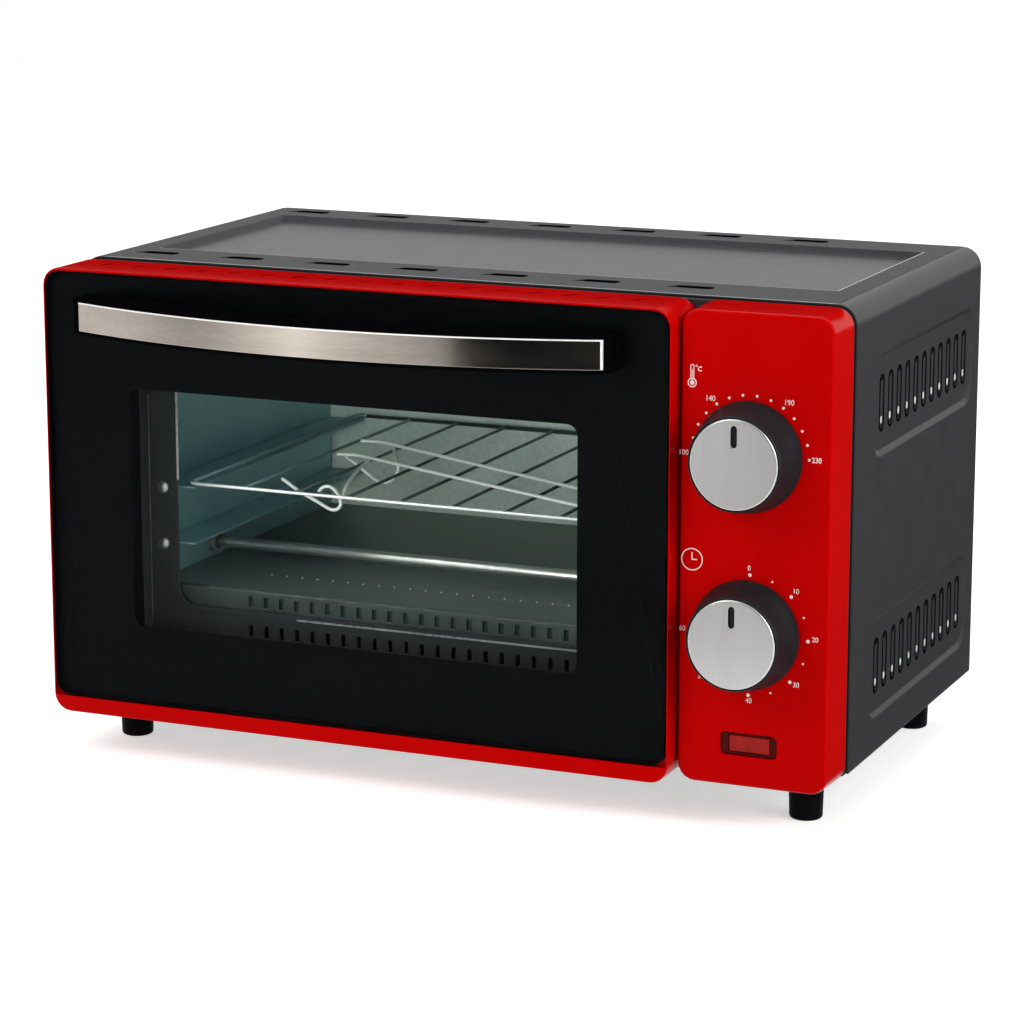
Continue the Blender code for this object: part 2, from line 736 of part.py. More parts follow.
def build_fascia():
    """Steel front with the oven opening, the slotted rail below it and the mounting holes."""
    side = CASE_SIDE - SHEET - GAP
    corner = CASE_CORNER - SHEET - GAP
    top = CASE_TOP - SHEET - GAP
    outline = rounded(-side, side, CASE_BOTTOM, top, 0, corner)
    fascia = make("front_fascia", [prism(outline, "y", FASCIA_FRONT_Y, FRONT_Y + FASCIA_RIM)],
                  "black_paint")
    inner = rounded(SHEET - side, side - SHEET, CASE_BOTTOM + SHEET, top - SHEET, 0, corner - SHEET)
    cut(fascia, [prism(inner, "y", FASCIA_BACK_Y, FRONT_Y + FASCIA_RIM + OVERRUN)], "inside")

    holes = [rounded(OPENING_LEFT, OPENING_RIGHT, CASE_TOP - OPENING_BOTTOM_DROP,
                     CASE_TOP - OPENING_TOP_DROP, OPENING_CORNER, OPENING_CORNER)]
    for index in range(RAIL_SLOTS):
        x = RAIL_SLOT_FIRST_X + index * RAIL_SLOT_PITCH
        holes.append(box_outline(x, CASE_TOP - RAIL_SLOT_DROP, RAIL_SLOT_WIDTH, RAIL_SLOT_HEIGHT))
    for x, z in RIVET_PLACES:
        holes.append(circle((x, z), RIVET_SHANK_RADIUS + GAP, SMALL_STEPS))
    for drop in (THERMOSTAT_DROP, TIMER_DROP):
        holes.append(circle((KNOB_X, CASE_TOP - drop), BUSH_RADIUS + GAP))
    holes.append(circle((LAMP_X, LAMP_Z), LAMP_RADIUS + GAP, SMALL_STEPS))
    cut(fascia, [prism(hole, "y", FASCIA_FRONT_Y - OVERRUN, FASCIA_BACK_Y + SHEET) for hole in holes],
        "holes")
    cut(fascia, ear_slots(FASCIA_FRONT_Y - OVERRUN, FASCIA_BACK_Y + SHEET,
                          HINGE_Z - EAR_RADIUS - GAP, HINGE_Z + EAR_RADIUS + GAP), "ears")
    things = [fascia]
    for index, (x, z) in enumerate(RIVET_PLACES):
        face = FASCIA_FRONT_Y - GAP
        profile = [(RIVET_HEAD_RADIUS * radius_share, face - RIVET_HEAD_HEIGHT * height_share)
                   for radius_share, height_share in DOME_SHARES]
        profile += [(RIVET_SHANK_RADIUS, face), (RIVET_SHANK_RADIUS, CHAMBER_FRONT_Y)]
        things.append(make(f"runner_rivet_{index + 1}", [turned(profile, (x, z), "y", SMALL_STEPS)],
                           "bright_steel"))
    return things


def build_chamber():
    """Five folded walls of the oven chamber with the runners that carry the rack."""
    low = CASE_TOP - OPENING_BOTTOM_DROP - CHAMBER_SKIRT
    sides = (CHAMBER_LEFT - SHEET, CHAMBER_RIGHT + SHEET)
    ceiling = make("chamber_ceiling", [block((CHAMBER_LEFT, CHAMBER_RIGHT), (CHAMBER_FRONT_Y, CHAMBER_BACK_Y),
                                             (CHAMBER_CEILING, CHAMBER_CEILING + SHEET))], "chamber_steel")
    back = make("chamber_back", [block(sides, (CHAMBER_BACK_Y + GAP, CHAMBER_BACK_Y + GAP + SHEET),
                                       (low, CHAMBER_CEILING + SHEET))], "chamber_steel")

    riser_y = FRONT_Y
    profile = [
        (riser_y, CHAMBER_FLOOR - RISER_HEIGHT), (riser_y + SHEET, CHAMBER_FLOOR - RISER_HEIGHT),
        (riser_y + SHEET, CHAMBER_FLOOR - SHEET), (CHAMBER_BACK_Y, CHAMBER_FLOOR - SHEET),
        (CHAMBER_BACK_Y, CHAMBER_FLOOR), (riser_y + SHEET, CHAMBER_FLOOR),
        (riser_y, CHAMBER_FLOOR - SHEET),
    ]
    floor = make("chamber_floor", [prism(profile, "x", CHAMBER_LEFT + GAP, CHAMBER_RIGHT - GAP)],
                 "chamber_steel")
    middle = CHAMBER_FLOOR - RISER_HEIGHT / 2 - SHEET / 2
    first = RAIL_SLOT_FIRST_X - RISER_SLOT_SHIFT
    cut(floor, [prism(box_outline(first + index * RAIL_SLOT_PITCH, middle,
                                  RAIL_SLOT_WIDTH, RISER_SLOT_HEIGHT),
                      "y", riser_y - OVERRUN, riser_y + OVERRUN) for index in range(RAIL_SLOTS)], "slots")
    things = [ceiling, back, floor]

    reach = RACK_SIDE_CLEARANCE + RUNNER_OVERLAP
    upper = RACK_Z - FRAME_WIRE_RADIUS - GAP
    lower = upper - RUNNER_STEP
    for name, wall, inward in (("left", CHAMBER_LEFT, 1), ("right", CHAMBER_RIGHT, -1)):
        plate = make(f"chamber_{name}_wall", [block(sorted((wall - inward * GAP, wall - inward * (GAP + SHEET))),
                                                    (CHAMBER_FRONT_Y, CHAMBER_BACK_Y),
                                                    (low, CHAMBER_CEILING + SHEET))], "chamber_steel")
        heater_holes = [circle((y, z), CAP_RADIUS + GAP) for y, z in HEATER_PLACES]
        cut(plate, [prism(hole, "x", wall - OVERRUN, wall + OVERRUN) for hole in heater_holes], "heaters")
        start = wall + inward * GAP
        tip = wall + inward * reach
        web = start + inward * SHEET
        runner = [(start, upper), (tip, upper), (tip, upper - SHEET), (web, upper - SHEET),
                  (web, lower), (tip, lower), (tip, lower - SHEET), (start, lower - SHEET)]
        things.append(plate)
        things.append(make(f"{name}_runner", [prism(runner, "y", FRONT_Y + RUNNER_FRONT,
                                                    BACK_Y - RUNNER_BACK_INSET)], "chamber_steel"))
    return things


def build_heaters():
    """Lower and upper tube heaters with ceramic caps in the chamber walls."""
    things = []
    for name, (y, z) in zip(("lower", "upper"), HEATER_PLACES):
        ends = (CHAMBER_LEFT - CAP_LENGTH, CHAMBER_RIGHT + CAP_LENGTH)
        things.append(make(f"{name}_heater", [turned([(HEATER_RADIUS, ends[0]), (HEATER_RADIUS, ends[1])],
                                                     (y, z), "x", SMALL_STEPS)], "heater_metal"))
        for side_name, wall, outward in (("left", CHAMBER_LEFT, -1), ("right", CHAMBER_RIGHT, 1)):
            bore = HEATER_RADIUS + GAP
            outside = wall + outward * (SHEET + 2 * GAP)
            profile = [
                (bore, wall - outward * CAP_FLANGE), (CAP_RADIUS, wall - outward * CAP_FLANGE),
                (CAP_RADIUS, outside), (CAP_FLANGE_RADIUS, outside),
                (CAP_FLANGE_RADIUS, outside + outward * CAP_FLANGE),
                (CAP_RADIUS, wall + outward * CAP_LENGTH), (bore, wall + outward * CAP_LENGTH),
            ]
            things.append(make(f"{name}_heater_{side_name}_cap",
                               [ring_solid(profile, (y, z), "x", SMALL_STEPS)], "ceramic"))
    return things


def build_controls():
    """Control panel moulding, indicator lamp, thermostat and timer."""
    panel = make("control_panel", [moulding(PANEL_LEFT, CASE_SIDE, PANEL_FRONT_Y, PANEL_BACK_Y,
                                            PANEL_EDGE, PANEL_DRAFT)], "red_gloss", 30)
    shell = rounded(PANEL_LEFT + MOULDING, CASE_SIDE - MOULDING, DOOR_BOTTOM + MOULDING,
                    DOOR_TOP - MOULDING, FRONT_CORNER - MOULDING, FRONT_CORNER - MOULDING)
    cut(panel, [prism(shell, "y", PANEL_FRONT_Y + MOULDING, PANEL_BACK_Y + OVERRUN)], "inside")
    holes = [circle((KNOB_X, CASE_TOP - drop), SHAFT_RADIUS + SHAFT_HOLE_CLEARANCE)
             for drop in (THERMOSTAT_DROP, TIMER_DROP)]
    holes.append(centred(LAMP_X, LAMP_Z, LAMP_WIDTH, LAMP_HEIGHT, LAMP_CORNER))
    cut(panel, [prism(hole, "y", PANEL_FRONT_Y - OVERRUN, PANEL_FRONT_Y + MOULDING + GAP)
                for hole in holes], "holes")

    bezel_front = PANEL_FRONT_Y + LAMP_RECESS
    bezel_back = PANEL_FRONT_Y + BEZEL_DEPTH
    seat = PANEL_FRONT_Y + MOULDING + GAP
    bezel = make("lamp_bezel", [prism(centred(LAMP_X, LAMP_Z, LAMP_WIDTH - 2 * GAP, LAMP_HEIGHT - 2 * GAP,
                                              LAMP_CORNER - GAP), "y", bezel_front, bezel_back)],
                 "black_plastic")
    add(bezel, [prism(centred(LAMP_X, LAMP_Z, LAMP_WIDTH + 2 * LAMP_CORNER, LAMP_HEIGHT + 2 * LAMP_CORNER,
                              LAMP_CORNER), "y", seat, bezel_back)], "flange")
    cut(bezel, [prism(box_outline(LAMP_X, LAMP_Z, LENS_WIDTH + 2 * GAP, LENS_HEIGHT + 2 * GAP), "y",
                      bezel_front - OVERRUN, bezel_back + OVERRUN)], "hole")

    lens_front = bezel_front + GAP
    left = LAMP_X - LENS_WIDTH / 2
    outline = [(left, bezel_back), (left, lens_front)]
    for index in range(LENS_RIBS):
        start = left + LENS_WIDTH * index / LENS_RIBS
        outline.append((start + LENS_WIDTH / LENS_RIBS / 2, lens_front - LENS_RIB_DEPTH))
        outline.append((start + LENS_WIDTH / LENS_RIBS, lens_front))
    outline.append((left + LENS_WIDTH, bezel_back))
    lens = make("lamp_lens", [prism(outline, "z", LAMP_Z - LENS_HEIGHT / 2, LAMP_Z + LENS_HEIGHT / 2)],
                "red_lens", 10)
    lamp_front = bezel_back + GAP
    lamp = make("indicator_lamp", [turned([(LAMP_RADIUS, lamp_front), (LAMP_RADIUS, lamp_front + LAMP_LENGTH)],
                                          (LAMP_X, LAMP_Z), "y", SMALL_STEPS)], "black_plastic")

    things = [panel, bezel, lens, lamp]
    for name, drop, height in (("thermostat", THERMOSTAT_DROP, THERMOSTAT_HEIGHT),
                               ("timer", TIMER_DROP, TIMER_HEIGHT)):
        z = CASE_TOP - drop
        case = prism(centred(KNOB_X, z, DEVICE_WIDTH, height, LAMP_CORNER), "y",
                     CHAMBER_FRONT_Y, CHAMBER_FRONT_Y + DEVICE_DEPTH)
        device = make(f"{name}_unit", [case], "bright_steel")
        mouth = CHAMBER_FRONT_Y - BUSH_LENGTH
        add(device, [turned([(BUSH_RADIUS, mouth), (BUSH_RADIUS, CHAMBER_FRONT_Y + GAP)], (KNOB_X, z))],
            "bush")
        cut(device, [turned([(SHAFT_RADIUS + GAP, mouth - OVERRUN), (SHAFT_RADIUS + GAP, mouth + BUSH_BORE_DEPTH)],
                            (KNOB_X, z))], "bore")
        things.append(device)
    return things


def build_knob(name, drop):
    """Tapered hollow knob with its metal disc, and the shaft that turns with it."""
    centre = (KNOB_X, CASE_TOP - drop)
    back = PANEL_FRONT_Y - KNOB_LIFT
    front = back - KNOB_HEIGHT
    taper_start = front + DISC_CHAMFER
    taper_end = back - KNOB_SKIRT
    profile = [(KNOB_FRONT_RADIUS - DISC_CHAMFER, front)]
    steps = 5
    for step in range(steps + 1):
        share = step / steps
        radius = KNOB_FRONT_RADIUS + (KNOB_BASE_RADIUS - KNOB_FRONT_RADIUS) * share ** 2
        profile.append((radius, taper_start + (taper_end - taper_start) * share))
    profile.append((KNOB_BASE_RADIUS, back))
    knob = make(f"{name}_knob", [turned(profile, centre, "y", KNOB_STEPS)], "black_plastic", 35)
    inner = front + KNOB_FRONT_THICKNESS
    hollow = [
        (KNOB_BOSS_RADIUS, back + OVERRUN), (KNOB_BASE_RADIUS - KNOB_WALL, back + OVERRUN),
        (KNOB_BASE_RADIUS - KNOB_WALL, back), (KNOB_FRONT_RADIUS - KNOB_WALL, inner), (KNOB_BOSS_RADIUS, inner),
    ]
    bore = [(SHAFT_RADIUS + GAP, back + OVERRUN), (SHAFT_RADIUS + GAP, inner)]
    pocket_depth = DISC_THICKNESS + GAP - DISC_PROUD
    pocket = [(DISC_RADIUS + GAP, front - OVERRUN), (DISC_RADIUS + GAP, front + pocket_depth)]
    cut(knob, [ring_solid(hollow, centre), turned(bore, centre), turned(pocket, centre, "y", KNOB_STEPS)],
        "hollows")

    disc_front = front - DISC_PROUD
    profile = [(DISC_RADIUS - DISC_CHAMFER, disc_front), (DISC_RADIUS, disc_front + DISC_CHAMFER),
               (DISC_RADIUS, disc_front + DISC_THICKNESS)]
    disc = make(f"{name}_knob_disc", [turned(profile, centre, "y", KNOB_STEPS)], "brushed_steel")
    mark = slot(centre[0], centre[1] + MARK_OFFSET, MARK_WIDTH, MARK_LENGTH)
    cut(disc, [prism(mark, "y", disc_front - OVERRUN, disc_front + OVERRUN)], "mark")

    shaft_end = CHAMBER_FRONT_Y - BUSH_LENGTH + BUSH_BORE_DEPTH - GAP
    shaft = make(f"{name}_shaft", [turned([(SHAFT_RADIUS, inner + GAP), (SHAFT_RADIUS, shaft_end)], centre)],
                 "bright_steel")
    axis = axis_empty(f"{name}_axis", (centre[0], back, centre[1]))
    hang_on(axis, [knob, disc, shaft])


def build_door():
    """Door moulding, glass, liner, hinges, springs and the arched handle."""
    frame = make("door_frame", [moulding(DOOR_LEFT, DOOR_RIGHT, DOOR_FRONT_Y, DOOR_BACK_Y, DOOR_EDGE, 0)],
                 "red_gloss", 30)
    glass_limits = (DOOR_LEFT + DOOR_RIM_SIDE, DOOR_RIGHT - DOOR_RIM_SIDE,
                    DOOR_BOTTOM + DOOR_LIP, DOOR_TOP - DOOR_RIM_TOP)
    pocket = grown(glass_limits, GAP, GLASS_BOTTOM_CORNER + GAP, GLASS_TOP_CORNER + GAP)
    window = grown(glass_limits, -LEDGE, GLASS_BOTTOM_CORNER, GLASS_BOTTOM_CORNER)
    shell_limits = (DOOR_LEFT + MOULDING, DOOR_RIGHT - MOULDING, DOOR_BOTTOM + MOULDING, DOOR_TOP - MOULDING)
    shell = grown(shell_limits, 0, FRONT_CORNER - MOULDING, FRONT_CORNER - MOULDING)
    ledge_front = GLASS_BACK_Y + GAP
    ledge_back = ledge_front + LEDGE_THICKNESS
    cut(frame, [prism(pocket, "y", DOOR_FRONT_Y - OVERRUN, ledge_front)], "pocket")
    cut(frame, [prism(window, "y", DOOR_FRONT_Y, DOOR_BACK_Y)], "window")
    cut(frame, [prism(shell, "y", ledge_back, DOOR_BACK_Y + OVERRUN)], "inside")

    knuckles = []
    holes = []
    for x in HINGE_X:
        for side in (-1, 1):
            near = x + side * (EAR_THICKNESS / 2 + EAR_CLEARANCE)
            far = near + side * KNUCKLE_WIDTH
            knuckles.append(block(sorted((near, far)),
                                  (HINGE_Y - KNUCKLE_HALF_DEPTH, HINGE_Y + KNUCKLE_HALF_DEPTH),
                                  (DOOR_BOTTOM + MOULDING / 2, HINGE_Z + KNUCKLE_RISE)))
            holes.append(turned([(PIN_RADIUS + GAP, near - side * EAR_CLEARANCE / 2),
                                 (PIN_RADIUS + GAP, far + side * OVERRUN)],
                                (HINGE_Y, HINGE_Z), "x", SMALL_STEPS))
    add(frame, knuckles, "knuckles")
    cut(frame, holes, "pin_holes")
    heel = [(DOOR_BACK_Y - DOOR_HEEL_CUT - OVERRUN, DOOR_BOTTOM - OVERRUN),
            (DOOR_BACK_Y + OVERRUN, DOOR_BOTTOM - OVERRUN),
            (DOOR_BACK_Y + OVERRUN, DOOR_BOTTOM + DOOR_HEEL_CUT + OVERRUN)]
    cut(frame, [prism(heel, "x", DOOR_LEFT - OVERRUN, DOOR_RIGHT + OVERRUN)], "heel")
    cut(frame, ear_slots(HINGE_Y - EAR_RADIUS - EAR_CLEARANCE, DOOR_BACK_Y + OVERRUN,
                         DOOR_BOTTOM - OVERRUN, HINGE_Z), "ears")
    vents = []
    first = DOOR_CENTRE_X - DOOR_VENT_PITCH * (DOOR_VENTS - 1) / 2
    near_y = FRONT_Y - DOOR_VENT_DEPTH - DOOR_VENT_LENGTH / 2
    far_y = near_y + DOOR_VENT_LENGTH
    for index in range(DOOR_VENTS):
        x = first + index * DOOR_VENT_PITCH - DOOR_VENT_SLANT / 2
        vents.append(prism([(x, near_y), (x + DOOR_VENT_WIDTH, near_y),
                            (x + DOOR_VENT_WIDTH + DOOR_VENT_SLANT, far_y), (x + DOOR_VENT_SLANT, far_y)],
                           "z", DOOR_TOP - MOULDING - GAP, DOOR_TOP + OVERRUN))
    cut(frame, vents, "vents")

    screw_x = [DOOR_CENTRE_X + side * (HANDLE_HALF_LENGTH - HANDLE_SCREW_INSET) for side in (-1, 1)]
    screw_z = CASE_TOP - HANDLE_TOP_DROP - HANDLE_HEIGHT / 2
    glass = make("door_glass", [prism(grown(glass_limits, 0, GLASS_BOTTOM_CORNER, GLASS_TOP_CORNER), "y",
                                      DOOR_FRONT_Y, GLASS_BACK_Y)], "door_glass")
    cut(glass, [turned([(HANDLE_SCREW_RADIUS + GAP, DOOR_FRONT_Y - OVERRUN),
                        (HANDLE_SCREW_RADIUS + GAP, GLASS_BACK_Y + OVERRUN)], (x, screw_z), "y", SMALL_STEPS)
                for x in screw_x], "screw_holes")

    liner_y = FRONT_Y - LINER_REACH
    liner = make("door_liner", [prism(grown(shell_limits, -GAP, FRONT_CORNER - MOULDING - GAP,
                                            FRONT_CORNER - MOULDING - GAP), "y", liner_y, liner_y + SHEET)],
                 "black_paint")
    opening = (DOOR_LEFT + LINER_BORDER, DOOR_RIGHT - LINER_BORDER,
               CASE_TOP - LINER_OPENING_BOTTOM_DROP, CASE_TOP - LINER_OPENING_TOP_DROP)
    add(liner, [prism(grown(opening, SHEET, LINER_CORNER + SHEET, LINER_CORNER + SHEET), "y",
                      liner_y - LINER_COLLAR, liner_y + SHEET)], "collar")
    cut(liner, [prism(grown(opening, 0, LINER_CORNER, LINER_CORNER), "y",
                      liner_y - LINER_COLLAR - OVERRUN, liner_y + SHEET + OVERRUN)], "opening")
    cut(liner, ear_slots(liner_y - GAP, liner_y + SHEET + OVERRUN,
                         DOOR_BOTTOM, HINGE_Z + 2 * EAR_RADIUS + EAR_CLEARANCE), "ears")

    things = [frame, glass, liner] + build_handle(screw_x, screw_z)
    for name, x, inward in (("left", HINGE_X[0], 1), ("right", HINGE_X[1], -1)):
        knuckle_far = EAR_THICKNESS / 2 + EAR_CLEARANCE + KNUCKLE_WIDTH
        coil_length = SPRING_TURNS * SPRING_PITCH
        outer_end = x - inward * knuckle_far
        inner_end = x + inward * (knuckle_far + coil_length + 4 * SPRING_WIRE_RADIUS)
        things.append(make(f"hinge_pin_{name}",
                           [turned([(PIN_RADIUS, outer_end), (PIN_RADIUS, inner_end)], (HINGE_Y, HINGE_Z),
                                   "x", SMALL_STEPS)], "bright_steel"))
        start = x + inward * (knuckle_far + 2 * SPRING_WIRE_RADIUS)
        path = []
        for step in range(SPRING_TURNS * TURN_STEPS + 1):
            angle = 2 * math.pi * step / TURN_STEPS
            path.append(Vector((start + inward * SPRING_PITCH * step / TURN_STEPS,
                                HINGE_Y + SPRING_RADIUS * math.cos(angle),
                                HINGE_Z + SPRING_RADIUS * math.sin(angle))))
        things.append(make(f"hinge_spring_{name}", [tube(path, SPRING_WIRE_RADIUS, THIN_SIDES)], "bright_steel"))
    hang_on(axis_empty("door_axis", (DOOR_CENTRE_X, HINGE_Y, HINGE_Z)), things)


def bow(radius, half, tip_y, reach, steps):
    """Arc bowed toward the front, from -half to +half, moved forward by reach along its radius."""
    swing = math.degrees(math.asin(half / radius))
    return arc((DOOR_CENTRE_X, tip_y + radius), radius + reach, 270 - swing, 270 + swing, steps)


def bow_radius(half, sagitta):
    """Radius of an arc from its half length and its rise."""
    return (half ** 2 + sagitta ** 2) / (2 * sagitta)


def build_handle(screw_x, screw_z):
    """Arched handle bar with a steel strip let into its front, and its two screws."""
    tip = FRONT_Y - HANDLE_REACH
    radius = bow_radius(HANDLE_HALF_LENGTH, HANDLE_REACH - HANDLE_END_REACH)
    face = DOOR_FRONT_Y - GAP
    grip_half = HANDLE_HALF_LENGTH - HANDLE_FOOT
    grip_radius = bow_radius(grip_half, HANDLE_REACH - HANDLE_THICKNESS - DOOR_REACH - GAP)
    top = CASE_TOP - HANDLE_TOP_DROP
    outline = bow(radius, HANDLE_HALF_LENGTH, tip, 0, HANDLE_STEPS)
    outline += [(DOOR_CENTRE_X + HANDLE_HALF_LENGTH, face)]
    outline += bow(grip_radius, grip_half, tip + HANDLE_THICKNESS, 0, HANDLE_STEPS)[::-1]
    outline += [(DOOR_CENTRE_X - HANDLE_HALF_LENGTH, face)]
    bar = make("handle_bar", [prism(outline, "z", top - HANDLE_HEIGHT, top)], "black_plastic")
    soften = bar.modifiers.new("edges", "BEVEL")
    soften.width = SMALL_ROUND
    soften.segments = 2
    soften.limit_method = "ANGLE"
    soften.angle_limit = math.radians(60)

    strip_half = HANDLE_HALF_LENGTH - STRIP_END_MARGIN
    low = top - HANDLE_HEIGHT + STRIP_MARGIN
    high = top - STRIP_MARGIN

    def curved(reach_front, reach_back, grow):
        """Thin curved slab following the bar's front."""
        shape = bow(radius, strip_half + grow, tip, reach_front, HANDLE_STEPS)
        shape += bow(radius, strip_half + grow, tip, reach_back, HANDLE_STEPS)[::-1]
        return prism(shape, "z", low - grow, high + grow)

    cut(bar, [curved(OVERRUN, -STRIP_THICKNESS - GAP, GAP)], "strip_seat")
    cut(bar, [turned([(HANDLE_SCREW_RADIUS + GAP, DOOR_FRONT_Y + OVERRUN),
                      (HANDLE_SCREW_RADIUS + GAP, DOOR_FRONT_Y - HANDLE_SCREW_BITE - GAP)],
                     (x, screw_z), "y", SMALL_STEPS) for x in screw_x], "screw_holes")
    strip = make("handle_strip", [curved(0, -STRIP_THICKNESS, 0)], "brushed_steel")
    things = [bar, strip]
    seat = GLASS_BACK_Y + GAP
    for name, x in zip(("left", "right"), screw_x):
        profile = [(HANDLE_SCREW_HEAD * radius_share, seat + HANDLE_SCREW_HEAD_HEIGHT * height_share)
                   for radius_share, height_share in DOME_SHARES]
        profile += [(HANDLE_SCREW_RADIUS, seat), (HANDLE_SCREW_RADIUS, DOOR_FRONT_Y - HANDLE_SCREW_BITE)]
        things.append(make(f"handle_screw_{name}", [turned(profile, (x, screw_z), "y", SMALL_STEPS)],
                           "bright_steel"))
    return things


def build_hinge_brackets():
    """Steel ears that pass through the fascia and carry the door's pins."""
    things = []
    for name, x in zip(("left", "right"), HINGE_X):
        rim_top = CASE_BOTTOM + SHEET + GAP
        outline = arc((HINGE_Y, HINGE_Z), EAR_RADIUS, 90, 270, SMALL_STEPS)
        outline += [(CHAMBER_FRONT_Y + EAR_THICKNESS / 2, rim_top),
                    (CHAMBER_FRONT_Y + EAR_THICKNESS / 2, HINGE_Z + EAR_RADIUS)]
        ear = make(f"hinge_bracket_{name}",
                   [prism(outline, "x", x - EAR_THICKNESS / 2, x + EAR_THICKNESS / 2)], "bright_steel")
        add(ear, [block((x - EAR_PLATE_WIDTH / 2, x + EAR_PLATE_WIDTH / 2),
                        (CHAMBER_FRONT_Y, CHAMBER_FRONT_Y + EAR_THICKNESS),
                        (rim_top, rim_top + EAR_PLATE_HEIGHT))], "plate")
        cut(ear, [turned([(PIN_RADIUS + GAP, x - EAR_THICKNESS), (PIN_RADIUS + GAP, x + EAR_THICKNESS)],
                         (HINGE_Y, HINGE_Z), "x", SMALL_STEPS)], "pin_hole")
        things.append(ear)
    return things


def build_rack():
    """Welded wire rack that lies on the upper runners."""
    side = RACK_WIDTH / 2 - FRAME_WIRE_RADIUS
    front = FRONT_Y + FRAME_WIRE_RADIUS
    back = BACK_Y - RACK_BACK_INSET - FRAME_WIRE_RADIUS
    corners = [(CHAMBER_CENTRE_X - side, front, RACK_Z), (CHAMBER_CENTRE_X + side, front, RACK_Z),
               (CHAMBER_CENTRE_X + side, back, RACK_Z), (CHAMBER_CENTRE_X - side, back, RACK_Z)]
    rack = make("wire_rack", [tube(filleted(corners, RACK_CORNER, ARC_STEPS, True), FRAME_WIRE_RADIUS,
                                   WIRE_SIDES, True)], "bright_steel", 60)
    rods = []
    for index in range(ROD_COUNT):
        x = ROD_FIRST_X + index * ROD_PITCH
        rods.append(tube([Vector((x, front, RACK_Z)), Vector((x, back, RACK_Z))], ROD_RADIUS))
    add(rack, rods, "rods")
    hang_on(axis_empty("rack_slide", (CHAMBER_CENTRE_X, front, RACK_Z)), [rack])


def build_tongs():
    """Bent-wire lifting tongs: a looped handle, a cross bar and two hooks between the rack's rods."""
    turn = math.radians(TONGS_HANDLE_ANGLE)
    along = Vector((math.cos(turn), math.sin(turn), 0))
    across = Vector((-math.sin(turn), math.cos(turn), 0))
    bar_z = RACK_Z + ROD_RADIUS + GAP + TONGS_WIRE_RADIUS
    handle_z = bar_z + 2 * TONGS_WIRE_RADIUS - GAP
    half = TONGS_HANDLE_WIDTH / 2
    rod_x = ROD_FIRST_X + ROD_PITCH
    middle = Vector((rod_x + ROD_PITCH * TONGS_LEFT_SHARE, FRONT_Y + TONGS_LEFT_Y, handle_z))
    path = []
    loop_middle = middle + along * RACK_WIDTH * TONGS_HANDLE_SHARE
    spread = half / math.cos(turn)
    for side in (1, -1):
        start = middle + Vector((0, spread * side, 0))
        tip = start - Vector((TONGS_TIP_LENGTH, 0, 0))
        bent = filleted([tip, start, loop_middle + across * half * side], TONGS_BEND)
        path += bent if side == 1 else bent[::-1]
        if side == 1:
            for step in range(1, 2 * ARC_STEPS):
                angle = math.pi * step / (2 * ARC_STEPS)
                path.append(loop_middle + across * half * math.cos(angle) + along * half * math.sin(angle))
    tongs = make("rack_tongs", [tube(path, TONGS_WIRE_RADIUS)], "bright_steel", 60)

    bar_x = rod_x + ROD_PITCH * TONGS_BAR_SHARE
    loop_x = rod_x + ROD_PITCH * TONGS_LOOP_SHARE
    loop_radius = ROD_PITCH * TONGS_LOOP_RADIUS_SHARE
    hook_front = FRONT_Y + TONGS_HOOK_Y
    hook_back = hook_front + TONGS_HOOK_STEP
    loop_z = bar_z - TONGS_HOOK_DROP
    bar_end = middle.y + spread + (bar_x - middle.x) * math.tan(turn) + TONGS_WIRE_RADIUS
    link_x = loop_x + loop_radius
    bar_path = [Vector((link_x, hook_front, loop_z)), Vector((bar_x, hook_front + loop_radius, bar_z)),
                Vector((bar_x, bar_end, bar_z))]
    add(tongs, [tube(bar_path, TONGS_WIRE_RADIUS)], "bar")
    hooks = []
    for y in (hook_front, hook_back):
        bend_x = loop_x - loop_radius - TONGS_WIRE_RADIUS
        corners = [Vector((bend_x - TONGS_HOOK_RUN, y, bar_z)), Vector((bend_x, y, bar_z)),
                   Vector((loop_x - loop_radius, y, loop_z))]
        path = filleted(corners, TONGS_WIRE_RADIUS * 2)
        for step in range(1, 2 * ARC_STEPS + 1):
            angle = math.pi + math.radians(TONGS_HOOK_TURN) * step / (2 * ARC_STEPS)
            path.append(Vector((loop_x + loop_radius * math.cos(angle), y,
                                loop_z + loop_radius * math.sin(angle))))
        hooks.append(tube(path, TONGS_WIRE_RADIUS))
    add(tongs, hooks, "hooks")
    add(tongs, [tube([Vector((link_x, hook_back, loop_z)), Vector((bar_x, hook_back, bar_z))],
                     TONGS_WIRE_RADIUS)], "link")
    hang_on(axis_empty("tongs_lift", (bar_x, hook_front, bar_z)), [tongs])


def main():
    for thing in list(bpy.data.objects):
        bpy.data.objects.remove(thing, do_unlink=True)
    build_casing()
    build_base()
    build_back()
    build_fascia()
    build_chamber()
    build_heaters()
    build_controls()
    build_hinge_brackets()
    build_door()
    build_knob("thermostat", THERMOSTAT_DROP)
    build_knob("timer", TIMER_DROP)
    build_rack()
    build_tongs()


main()
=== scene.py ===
import math

import bmesh
import bpy
from mathutils import Matrix, Vector


